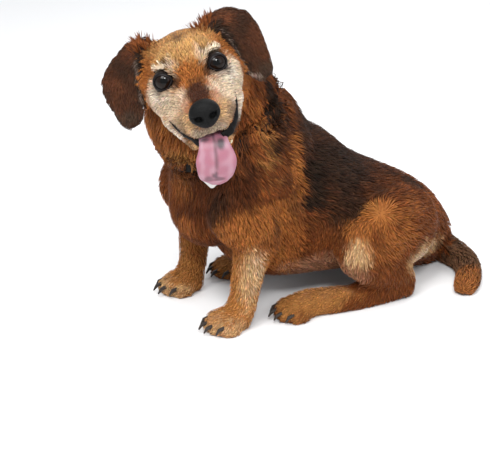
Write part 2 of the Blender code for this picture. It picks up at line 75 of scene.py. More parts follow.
# a smooth field about -1 to 1: the mean of twelve sine waves that are about as long as size
def drift(points, size, seed):
    draw = np.random.default_rng(seed)
    ways = unit(draw.normal(size=(12, 3))) * (2 * math.pi / size) * draw.uniform(0.6, 1.7, (12, 1))
    return np.sin(points @ ways.T + draw.uniform(0, 2 * math.pi, 12)).mean(axis=1) * 2


# one field of every vertex, edge, face or loop, as rows of that width
def readField(items, field, width, kind=np.float32):
    values = np.zeros(len(items) * width, kind)
    items.foreach_get(field, values)
    return values.reshape(-1, width).astype(float if kind is np.float32 else kind)


# a mesh of faces that all have as many corners as the rows of faces are wide
def makeMesh(name, points, faces):
    mesh = bpy.data.meshes.new(name)
    mesh.vertices.add(len(points))
    mesh.vertices.foreach_set("co", np.ascontiguousarray(points, np.float32).ravel())
    mesh.loops.add(faces.size)
    mesh.loops.foreach_set("vertex_index", np.ascontiguousarray(faces, np.int32).ravel())
    mesh.polygons.add(len(faces))
    mesh.polygons.foreach_set("loop_start", np.arange(0, faces.size, faces.shape[1], dtype=np.int32))
    mesh.update(calc_edges=True)
    mesh.shade_smooth()
    return mesh


# faces of a grid of rows around a tube, closed at both ends by a point each: the last two points of the mesh
def tubeFaces(rows, around):
    r, a = np.meshgrid(np.arange(rows - 1), np.arange(around), indexing="ij")
    b = (a + 1) % around
    p, q, s, t = r * around + a, r * around + b, (r + 1) * around + b, (r + 1) * around + a
    sides = np.concatenate([np.stack([p, q, s], -1).reshape(-1, 3), np.stack([p, s, t], -1).reshape(-1, 3)])
    ring = np.arange(around)
    after = (ring + 1) % around
    start, end = rows * around, rows * around + 1
    last = (rows - 1) * around
    first = np.stack([after, ring, np.full(around, start)], -1)
    final = np.stack([last + ring, last + after, np.full(around, end)], -1)
    return np.concatenate([sides, first, final])


# the faces, turned over where the sum of a . (b x c), six times the volume inside them, is below zero
def facesOut(points, faces):
    a, b, c = (points[faces[:, i]] for i in range(3))
    return faces if (a * np.cross(b, c)).sum() > 0 else faces[:, ::-1]


# a grid of rings made a mesh, with each end closed by a fan to the mean of its ring
def closedTube(name, grid):
    rows, around = grid.shape[:2]
    points = np.concatenate([grid.reshape(-1, 3), grid[:1].mean(axis=1), grid[-1:].mean(axis=1)])
    return makeMesh(name, points, facesOut(points, tubeFaces(rows, around)))


# a piece on the still body, standing for the CAD nodes that it replaces
def addPiece(name, mesh, material, replaced=()):
    piece = bpy.data.objects.new(name, mesh)
    scene.collection.objects.link(piece)
    mesh.materials.clear()
    mesh.materials.append(material)
    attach(piece, "root")
    if replaced:
        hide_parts(*replaced)
    return piece


# a tone for each point, as the attribute that the painted finishes read
def paintMesh(mesh, colours):
    layer = mesh.color_attributes.new("coatTone", "FLOAT_COLOR", "POINT")
    rgba = np.ones((len(mesh.vertices), 4), np.float32)
    rgba[:, :3] = np.clip(colours, 0, 1)
    layer.data.foreach_set("color", rgba.ravel())


# a smooth curve through the stations: each column is a Catmull-Rom cubic between one station and the next
def throughStations(stations, count):
    known = np.asarray(stations, float)
    known = np.concatenate([2 * known[:1] - known[1:2], known, 2 * known[-1:] - known[-2:-1]])
    place = np.linspace(0, len(known) - 3, count)
    i = np.minimum(place.astype(int), len(known) - 4)
    t = (place - i)[:, None]
    a, b, c, d = known[i], known[i + 1], known[i + 2], known[i + 3]
    return 0.5 * (2 * b + (c - a) * t + (2 * a - 5 * b + 4 * c - d) * t**2 + (3 * b - a - 3 * c + d) * t**3)


nearCell = 0.005


# cells of space that each know a near point: the cells that hold points, then outwards one cell at a time
def nearGrid(points, cell=nearCell, reach=3):
    low = points.min(axis=0) - (reach + 2) * cell
    size = np.ceil((points.max(axis=0) - low) / cell).astype(int) + reach + 3
    owner = np.full(tuple(size), -1, np.int64)
    owner[tuple(((points - low) / cell).astype(int).T)] = np.arange(len(points))
    steps = [(i, j, k) for i in (-1, 0, 1) for j in (-1, 0, 1) for k in (-1, 0, 1) if (i, j, k) != (0, 0, 0)]
    for _ in range(reach):
        best = np.full(owner.shape, np.inf)
        found = owner.copy()
        best[owner >= 0] = 0
        for step in steps:
            other = np.roll(owner, step, axis=(0, 1, 2))
            at = np.nonzero((other >= 0) & (owner < 0))
            centre = (np.stack(at, -1) + 0.5) * cell + low
            far = ((points[other[at]] - centre) ** 2).sum(axis=1)
            nearer = far < best[at]
            at = tuple(axis[nearer] for axis in at)
            best[at] = far[nearer]
            found[at] = other[at]
        owner = found
    return {"points": points, "owner": owner, "low": low, "cell": cell}


# the index of the near point: the nearest of those known to the cell and to its six neighbours
def nearest(grid, where):
    cells = ((where - grid["low"]) / grid["cell"]).astype(int)
    cells = np.clip(cells, 1, np.array(grid["owner"].shape) - 2)
    best = np.full(len(where), np.inf)
    found = np.zeros(len(where), int)
    for step in ((0, 0, 0), (1, 0, 0), (-1, 0, 0), (0, 1, 0), (0, -1, 0), (0, 0, 1), (0, 0, -1)):
        index = grid["owner"][tuple((cells + step).T)]
        far = ((grid["points"][index] - where) ** 2).sum(axis=1)
        far[index < 0] = np.inf
        nearer = far < best
        best[nearer] = far[nearer]
        found[nearer] = index[nearer]
    return found


# a node group with these inputs and outputs: its tree, where its inputs come in and where its outputs leave
def group(name, inputs, outputs):
    tree = bpy.data.node_groups.new(name, "ShaderNodeTree")
    for label, kind, value in inputs:
        socket = tree.interface.new_socket(name=label, in_out="INPUT", socket_type=kind)
        socket.default_value = value
    for label, kind in outputs:
        tree.interface.new_socket(name=label, in_out="OUTPUT", socket_type=kind)
    return tree, tree.nodes.new("NodeGroupInput"), tree.nodes.new("NodeGroupOutput")


# colour times 1 + amount x (noise - 0.5), and the same noise as a height
def mottleGroup():
    tree, given, out = group(
        "fineMottle",
        [("Color", "NodeSocketColor", (1, 1, 1, 1)), ("Scale", "NodeSocketFloat", 200),
         ("Amount", "NodeSocketFloat", 0.3)],
        [("Color", "NodeSocketColor"), ("Height", "NodeSocketFloat")],
    )
    make, link = tree.nodes.new, tree.links.new
    where, noise = make("ShaderNodeTexCoord"), make("ShaderNodeTexNoise")
    spread, factor, shade = make("ShaderNodeMath"), make("ShaderNodeMath"), make("ShaderNodeVectorMath")
    noise.inputs["Detail"].default_value = 4
    spread.operation, factor.operation, shade.operation = "SUBTRACT", "MULTIPLY_ADD", "SCALE"
    spread.inputs[1].default_value = 0.5
    factor.inputs[2].default_value = 1
    link(where.outputs["Object"], noise.inputs["Vector"])
    link(given.outputs["Scale"], noise.inputs["Scale"])
    link(noise.outputs["Fac"], spread.inputs[0])
    link(spread.outputs[0], factor.inputs[0])
    link(given.outputs["Amount"], factor.inputs[1])
    link(given.outputs["Color"], shade.inputs[0])
    link(factor.outputs[0], shade.inputs["Scale"])
    link(shade.outputs[0], out.inputs["Color"])
    link(noise.outputs["Fac"], out.inputs["Height"])
    return tree


fineMottle = mottleGroup()


# a Principled finish: its colour is the painted tone or a plain one, mottled, with the mottle as its bump
def finish(name, colour=None, scale=400, amount=0.4, bump=0.3, deep=0.0004, **sockets):
    material = bpy.data.materials.new(name)
    material.use_nodes = True
    tree = material.node_tree
    shader = tree.nodes["Principled BSDF"]
    mottle = tree.nodes.new("ShaderNodeGroup")
    mottle.node_tree = fineMottle
    mottle.inputs["Scale"].default_value = scale
    mottle.inputs["Amount"].default_value = amount
    if colour is None:
        tone = tree.nodes.new("ShaderNodeVertexColor")
        tone.layer_name = "coatTone"
        tree.links.new(tone.outputs["Color"], mottle.inputs["Color"])
    else:
        mottle.inputs["Color"].default_value = (*colour, 1)
    tree.links.new(mottle.outputs["Color"], shader.inputs["Base Color"])
    rough = tree.nodes.new("ShaderNodeBump")
    rough.inputs["Strength"].default_value = bump
    rough.inputs["Distance"].default_value = deep
    tree.links.new(mottle.outputs["Height"], rough.inputs["Height"])
    tree.links.new(rough.outputs["Normal"], shader.inputs["Normal"])
    for label, value in sockets.items():
        shader.inputs[label.replace("_", " ")].default_value = value
    return material


hairFinish = finish("hair", scale=900, amount=0.5, bump=0.25, Roughness=0.5, Specular_IOR_Level=0.12)
skinFinish = finish("furredSkin", scale=700, amount=0.5, bump=0.6, deep=0.0006, Roughness=0.75,
                    Specular_IOR_Level=0.1)
rimFinish = finish("lidRim", colour=(0.007, 0.005, 0.005), scale=900, amount=0.4, Roughness=0.4,
                   Specular_IOR_Level=0.12)
noseFinish = finish("noseLeather", scale=1100, amount=0.5, bump=0.85, deep=0.0007, Roughness=0.48,
                    Specular_IOR_Level=0.10)
tongueFinish = finish("tongue", scale=1400, amount=0.25, bump=0.5, deep=0.0004, Roughness=0.42,
                      Subsurface_Weight=0.15, Subsurface_Scale=0.003)
# black of the lips, and painted shade of the open mouth's gap beside the tongue
lipAndShadeFinish = finish("lipAndMouthShade", colour=(0.005, 0.004, 0.004), scale=700, amount=0.5, Roughness=0.5,
                   Specular_IOR_Level=0.08)
toothFinish = finish("enamel", colour=(0.78, 0.70, 0.48), scale=300, amount=0.15, bump=0.05, Roughness=0.22)
clawFinish = finish("clawHorn", colour=(0.028, 0.020, 0.016), scale=500, amount=0.6, Roughness=0.4,
                    Specular_IOR_Level=0.3)
strapFinish = finish("strapWeave", colour=(0.014, 0.012, 0.011), scale=900, amount=0.6, bump=0.6,
                     Roughness=0.8, Specular_IOR_Level=0.1)
steelFinish = finish("tagSteel", colour=(0.46, 0.45, 0.43), scale=500, amount=0.2, bump=0.12,
                     Metallic=1.0, Roughness=0.28)
eyeFinish = finish("eye", scale=700, amount=0.25, bump=0.0, Roughness=0.04, Specular_IOR_Level=0.18)
print("materials made")

# Each guide: place, the way the hair lies there, its length and how deep the coat is, in millimetres.
# Places on head and ears are in head coordinates and mirrored to the dog's right, the rest in the model's.
coatGuides = {
    "head": [
        ((0, -64, -14), (0.1, 0.9, 0.5), 3, 1.2),
        ((0, -45, -8), (0.1, 0.9, 0.5), 3.5, 1.5),
        ((0, -20, 2), (0.1, 0.7, 0.8), 5, 2.2),
        ((6, 0, 20), (0.2, 0.5, 1), 7, 3),
        ((8, 25, 31), (0.2, 0.9, 0.5), 9, 3.5),
        ((8, 60, 28), (0.2, 1, -0.2), 11, 4),
        ((24, -4, 18), (0.6, 0.4, 0.9), 6, 2.6),
        ((36, 12, 6), (0.8, 0.9, 0.3), 7, 3),
        ((30, 30, 22), (0.5, 1, 0.4), 10, 4),
        ((18, -60, -28), (0.7, 0.8, -0.2), 3.5, 1.4),
        ((22, -45, -36), (0.4, 0.8, -0.7), 4, 1.6),
        ((22, -40, -20), (0.5, 0.9, -0.1), 4, 1.5),
        ((24, -15, -18), (0.6, 0.8, -0.5), 5, 2),
        ((28, -10, -34), (0.3, 0.8, -0.6), 5.5, 2.4),
        ((40, 4, -14), (0.7, 0.9, -0.5), 6.5, 2.8),
        ((44, 10, -34), (0.4, 0.9, -0.6), 8, 3.4),
        ((46, 35, -30), (0.3, 0.9, -0.8), 11, 4.2),
        ((36, 50, -50), (0.2, 0.8, -1), 13, 4.8),
        ((16, -45, -62), (0.2, 0.8, -0.5), 4, 1.5),
        ((0, -40, -70), (0, 1, -0.3), 5, 1.8),
        ((10, -10, -75), (0.1, 1, -0.4), 8, 3),
        ((30, 0, -60), (0.3, 0.8, -0.7), 8, 3),
        ((0, 30, -80), (0, 0.7, -1), 12, 4.5),
        ((20, 85, -10), (0.1, 0.7, -0.9), 14, 5),
    ],
    "ear": [
        ((26, 48, 26), (0.8, 0, 0.2), 11, 1.6),
        ((44, 47, 26), (0.9, 0, -0.3), 7, 1.1),
        ((57, 46, 12), (0.6, 0, -0.8), 5.5, 0.9),
        ((66, 44, -4), (0.2, 0, -1), 5, 0.9),
        ((70, 41, -23), (0.1, 0, -1), 5, 0.9),
        ((70, 38, -36), (0.1, 0, -1), 6, 1),
    ],
    "neck": [
        ((30, -110, 235), (0.3, 0.1, -1), 14, 5),
        ((38, -80, 235), (0.5, 0.6, -1), 15, 5.5),
        ((30, -50, 240), (0.4, 0.9, -0.9), 16, 6),
        ((-10, -20, 245), (0, 1, -0.7), 16, 6),
        ((-60, -50, 225), (-0.3, 0.8, -0.9), 16, 6),
        ((-70, -100, 200), (-0.3, 0.3, -1), 16, 6),
        ((-10, -160, 200), (-0.1, -0.2, -1), 17, 6),
        ((25, -150, 190), (0.2, -0.1, -1), 17, 6),
        ((-40, -150, 190), (-0.3, -0.2, -1), 17, 6),
        ((35, -105, 180), (0.3, 0.3, -1), 16, 6),
    ],
    "trunk": [
        ((30, -134, 150), (0.2, 0, -1), 17, 6),
        ((-10, -150, 130), (0.1, -0.1, -1), 18, 6.5),
        ((-60, -140, 130), (-0.2, 0, -1), 17, 6.5),
        ((0, -130, 95), (0, 0.4, -0.9), 16, 6),
        ((45, -60, 170), (0.2, 0.7, -0.9), 14, 5),
        ((40, -30, 190), (0.2, 0.9, -0.7), 13, 5),
        ((-20, 0, 210), (0, 1, -0.5), 14, 5),
        ((20, 40, 165), (0.1, 1, -0.4), 11, 4),
        ((-20, 100, 140), (0, 1, -0.4), 11, 4),
        ((10, 140, 112), (0, 1, -0.6), 11, 4),
        ((-20, 180, 70), (0, 0.7, -1), 13, 4.5),
        ((48, 20, 120), (0.1, 0.9, -0.5), 11, 4),
        ((48, -30, 100), (0.1, 0.8, -0.6), 11, 4),
        ((30, 0, 45), (0, 1, -0.2), 10, 3.5),
        ((-90, -30, 120), (-0.1, 0.8, -0.6), 12, 4.5),
        ((-90, 40, 120), (-0.1, 0.9, -0.5), 12, 4.5),
        ((-20, -20, 40), (0, 1, 0), 9, 3),
        ((-60, 120, 110), (-0.1, 1, -0.5), 11, 4),
        ((-80, 150, 60), (-0.2, 0.7, -0.8), 12, 4),
    ],
    "foreleg": [
        ((50, -105, 145), (0.2, 0.2, -1), 12, 4.5),
        ((58, -90, 115), (0.2, 0.3, -1), 10, 4),
        ((45, -75, 95), (0.1, 0.6, -0.9), 10, 4),
        ((45, -108, 80), (0.1, 0, -1), 7, 2.8),
        ((35, -85, 60), (0, 0.6, -0.9), 9, 3.5),
        ((40, -110, 45), (0, -0.1, -1), 6, 2.2),
        ((35, -110, 22), (0, -0.9, -0.5), 5, 1.6),
        ((34, -130, 12), (0, -1, -0.5), 4, 1.2),
    ],
    "hindleg": [
        ((66, 30, 100), (0.2, -0.3, -0.9), 10, 3.5),
        ((72, 15, 80), (0.2, -0.4, -0.9), 8, 2.8),
        ((78, 30, 70), (0.2, 0.2, -1), 8, 2.8),
        ((78, 70, 78), (0.1, 0.7, -0.7), 10, 3.5),
        ((70, 100, 95), (0.1, 1, -0.2), 11, 4),
        ((55, 135, 80), (0, 0.9, -0.6), 12, 4),
        ((50, 140, 45), (0, 0.8, -0.7), 12, 4),
        ((55, 80, 25), (0.1, 0.2, -1), 8, 2.5),
        ((50, 30, 18), (0.1, -0.8, -0.5), 6, 1.8),
        ((45, -20, 18), (0, -1, -0.3), 5, 1.5),
        ((44, -50, 10), (0, -1, -0.4), 4, 1.2),
    ],
    "tail": [
        ((-22, 190, 45), (0.1, 0.7, -0.9), 13, 4.5),
        ((0, 205, 35), (0.8, 0.6, -0.4), 14, 5),
        ((34, 208, 25), (1, 0.1, -0.2), 15, 5),
        ((64, 192, 22), (0.9, -0.6, -0.1), 15, 4.5),
        ((90, 165, 18), (0.6, -0.8, -0.1), 14, 3.5),
    ],
}
whorl = {"at": (0.067, 0.059, 0.110), "reach": 0.032}  # the left thigh's hair springs from here all round
legMiddle = -0.0238  # where the plane midway between the legs of a pair crosses x

fleshNodes = {
    "head": "head", "neck": "neck", "trunk": "trunk", "tail": "tail",
    "foreleg_left": "foreleg", "foreleg_right": "foreleg",
    "hindleg_left": "hindleg", "hindleg_right": "hindleg",
    "ear_left": "ear", "ear_right": "ear",
}
fleshNames = list(fleshNodes)


# a CAD node's points and triangles, with its doubled points made one
def mergedNode(name):
    form = bmesh.new()
    form.from_mesh(nodes[name].data)
    bmesh.ops.remove_doubles(form, verts=form.verts, dist=1e-5)
    bmesh.ops.triangulate(form, faces=form.faces)
    mesh = bpy.data.meshes.new("merged")
    form.to_mesh(mesh)
    form.free()
    points, normals = readField(mesh.vertices, "co", 3), readField(mesh.vertices, "normal", 3)
    corners = readField(mesh.polygons, "vertices", 3, np.int32)
    bpy.data.meshes.remove(mesh)
    return points, normals, corners


# the points and four more over each triangle, as shares of its corners, for telling which node is near
def spreadPoints(points, faces):
    a, b, c = (points[faces[:, i]] for i in range(3))
    shares = ((1 / 3, 1 / 3, 1 / 3), (0.66, 0.17, 0.17), (0.17, 0.66, 0.17), (0.17, 0.17, 0.66))
    return np.concatenate([points] + [a * u + b * v + c * w for u, v, w in shares])


skin = {"swell": 0.0005, "voxel": 0.0024, "smoothTimes": 9, "blendTimes": 12, "shade": 0.62}


# one closed mesh over all the flesh: the nodes swollen until they meet, remeshed together and smoothed
def joinFlesh():
    allPoints, allFaces, near, owner, count = [], [], [], [], 0
    for number, name in enumerate(fleshNames):
        points, normals, faces = mergedNode(name)
        allPoints.append(points + normals * skin["swell"])
        allFaces.append(faces + count)
        count += len(points)
        spread = spreadPoints(points, faces)
        near.append(spread)
        owner.append(np.full(len(spread), number))
    mesh = makeMesh("flesh", np.concatenate(allPoints), np.concatenate(allFaces))
    body = bpy.data.objects.new("flesh", mesh)
    scene.collection.objects.link(body)
    remesh = body.modifiers.new("remesh", "REMESH")
    remesh.mode = "VOXEL"
    remesh.voxel_size = skin["voxel"]
    bpy.context.view_layer.update()
    made = bpy.data.meshes.new_from_object(body.evaluated_get(bpy.context.evaluated_depsgraph_get()))
    bpy.data.objects.remove(body)
    return made, np.concatenate(near), np.concatenate(owner)


# a mesh's points, their normals and its edges
def meshArrays(mesh):
    return (readField(mesh.vertices, "co", 3), readField(mesh.vertices, "normal", 3),
            readField(mesh.edges, "vertices", 2, np.int32))


# the mean of each point's neighbours along the mesh's edges
def neighbourMean(values, edges):
    count = np.bincount(edges.ravel(), minlength=len(values))
    ends = np.concatenate([edges[:, 0], edges[:, 1]])
    others = np.concatenate([edges[:, 1], edges[:, 0]])
    total = np.stack([np.bincount(ends, column[others], minlength=len(values)) for column in values.T], -1)
    return total / np.maximum(count, 1)[:, None]


# each value goes 0.6 of the way to the mean of its neighbours, several times over
def evenOut(values, edges, times):
    for _ in range(times):
        values = values + 0.6 * (neighbourMean(values, edges) - values)
    return values


# the guides of one part as arrays, with the mirrored ones after them where the part has two sides:
# x becomes -x in head coordinates, and twice the middle plane's x less x on the legs
def guideTable(kind):
    onHead, onLegs = kind in ("head", "ear"), kind in ("foreleg", "hindleg")
    place = np.array([row[0] for row in coatGuides[kind]]) / 1000 + (0 if onHead else placeShift)
    way = unit(np.array([row[1] for row in coatGuides[kind]], float))
    size = np.array([row[2:] for row in coatGuides[kind]]) / 1000
    if onHead or onLegs:
        other = place * (-1, 1, 1) + (legMiddle * 2 if onLegs else 0, 0, 0)
        place = np.concatenate([place, other])
        way = np.concatenate([way, way * (-1, 1, 1)])
        size = np.concatenate([size, size])
    return (toModel(place), way @ headTurn.T, size) if onHead else (place, way, size)


# the coat's lie, length and depth at each point: the mean of its part's guides, each by 1 / distance^4
def coatAt(points, part):
    way = np.zeros((len(points), 3))
    size = np.zeros((len(points), 2))
    for kind in coatGuides:
        mine = np.isin(part, [i for i, name in enumerate(fleshNames) if fleshNodes[name] == kind])
        place, lie, sizes = guideTable(kind)
        far = ((points[mine][:, None] - place[None]) ** 2).sum(axis=-1)
        share = 1 / (far + 1e-5) ** 2
        share /= share.sum(axis=1, keepdims=True)
        way[mine] = share @ lie
        size[mine] = share @ sizes
    return way, size


fleshMesh, nearPoints, nearOwner = joinFlesh()
fleshPoints, fleshNormals, fleshEdges = meshArrays(fleshMesh)
# smoothed in pairs, towards the neighbours' mean and then away from it, so that thin ears and lips stay
for _ in range(skin["smoothTimes"]):
    for share in (0.55, -0.575):
        fleshPoints = fleshPoints + (neighbourMean(fleshPoints, fleshEdges) - fleshPoints) * share
fleshMesh.vertices.foreach_set("co", fleshPoints.astype(np.float32).ravel())
fleshMesh.update()
fleshPoints, fleshNormals, fleshEdges = meshArrays(fleshMesh)
print("flesh joined:", len(fleshPoints), "points")
nodeGrid = nearGrid(nearPoints)
partOf = nearOwner[nearest(nodeGrid, fleshPoints)]
lie, sizes = (evenOut(values, fleshEdges, skin["blendTimes"]) for values in coatAt(fleshPoints, partOf))

eye = {
    "radius": 0.0110,
    "at": (0.0262, -0.0008, -0.0018),
    "gaze": (0.03, -0.97, 0.24),  # the way both eyes look
    "outwards": 0.05,  # what each turns to its own side
    "lidWay": (0.30, -0.93, 0.12),  # the way the left lids face
    "open": 48,  # degrees from there to the lid's edge
    "socket": {"hole": 42, "brim": 105, "deep": 0.020, "high": 0.018, "behind": 0.0012, "over": 0.0007},
}
eyeSides = {"left": np.array((1, 1, 1)), "right": np.array((-1, 1, 1))}


# The flesh moved in along its normals by the coat's depth, less near the floor. Round each eye, up to the
# hole's angle from the way the lids face, it goes behind the ball, and from there to the brim's it stays over.
def skinPoints():
    socket = eye["socket"]
    floorShare = ramp(fleshPoints[:, 2], 0.0015, 0.010)
    depth = sizes[:, 1] * floorShare + skin["swell"]
    moved = fleshPoints - fleshNormals * depth[:, None]
    local = toHead(moved)
    for flip in eyeSides.values():
        centre = np.array(eye["at"]) * flip
        axis = unit(np.array(eye["lidWay"]) * flip)
        out = local - centre
        far = np.linalg.norm(out, axis=1)
        angle = np.degrees(np.arccos(np.clip(unit(out) @ axis, -1, 1)))
        inside = (far < socket["deep"]) & (angle < socket["hole"])
        hug = (far < socket["high"]) & (angle >= socket["hole"]) & (angle < socket["brim"])
        wanted = np.where(inside, np.minimum(far, eye["radius"] - socket["behind"]), far)
        wanted = np.where(hug, np.maximum(far, eye["radius"] + socket["over"]), wanted)
        local = centre + unit(out) * wanted[:, None]
    moved = toModel(local)
    moved[:, 2] = np.maximum(moved[:, 2], 0.0002)
    return moved


skinMesh = fleshMesh
skinMesh.vertices.foreach_set("co", skinPoints().astype(np.float32).ravel())
skinMesh.update()
skinAt, skinNormal, skinEdges = meshArrays(skinMesh)
skinNormal = unit(evenOut(skinNormal, skinEdges, 2))
skinGrid = nearGrid(skinAt)
print("skin made")

# the lie along the skin: the part of it in the surface's plane, turned out from the whorl close to it
fromWhorl = skinAt - placeShift - np.array(whorl["at"])
whorlShare = 1 - ramp(np.linalg.norm(fromWhorl, axis=1), whorl["reach"] * 0.4, whorl["reach"])
lie = lie * (1 - whorlShare[:, None]) + unit(fromWhorl) * whorlShare[:, None]
lie = unit(lie - (lie * skinNormal).sum(axis=1, keepdims=True) * skinNormal)

# shares are of a direction along the skin's normal, or along the lie of the hair for the ruff
strap = {"outwards": 0.4, "above": 0.80, "reach": 0.016, "ruffReach": 0.017, "ruffBehind": -0.25}
# what the coat lies over: the skin, and the outside of the strap where it goes round the neck
strapPoints, strapNormals, strapFaces = mergedNode("collar")
strapAt = spreadPoints(strapPoints, strapFaces)
strapOut = unit(spreadPoints(strapNormals, strapFaces))
strapSkin = nearest(skinGrid, strapAt)
outside = (strapOut * skinNormal[strapSkin]).sum(axis=1) > strap["outwards"]
strapAt, strapSkin = strapAt[outside], strapSkin[outside]
strapGrid = nearGrid(strapAt, reach=5)
toStrap = strapAt[nearest(strapGrid, skinAt)] - skinAt
beside = (unit(toStrap) * skinNormal).sum(axis=1) < strap["above"]
overSkin = (np.linalg.norm(toStrap, axis=1) > strap["reach"]) | beside
coverAt = np.concatenate([skinAt[overSkin], strapAt])
coverNormal = np.concatenate([skinNormal[overSkin], skinNormal[strapSkin]])
coverLie = np.concatenate([lie[overSkin], lie[strapSkin]])
overStrap = np.arange(len(coverAt)) >= overSkin.sum()
coverGrid = nearGrid(coverAt)

tones = {
    "mahogany": (0.085, 0.024, 0.007),
    "redBrown": (0.185, 0.052, 0.012),
    "orange": (0.360, 0.120, 0.028),
    "gold": (0.500, 0.220, 0.060),
    "honey": (0.520, 0.290, 0.105),
    "sand": (0.600, 0.370, 0.180),
    "cream": (0.740, 0.590, 0.430),
    "white": (0.800, 0.700, 0.580),
    "black": (0.020, 0.011, 0.006),
    "sooty": (0.036, 0.017, 0.009),
    "umber": (0.050, 0.020, 0.010),
    "tailBrown": (0.150, 0.072, 0.036),
    "earBrown": (0.060, 0.023, 0.011),
    "earRed": (0.120, 0.038, 0.015),
    "earGrey": (0.050, 0.034, 0.023),
    "bridgeBrown": (0.045, 0.013, 0.006),
    "pinkTan": (0.420, 0.200, 0.110),
    "lipGrey": (0.110, 0.078, 0.062),
    "greySand": (0.440, 0.340, 0.245),
}
partTones = {
    "head": "orange", "neck": "redBrown", "trunk": "redBrown", "tail": "tailBrown",
    "foreleg": "orange", "hindleg": "redBrown", "ear": "earBrown",
}
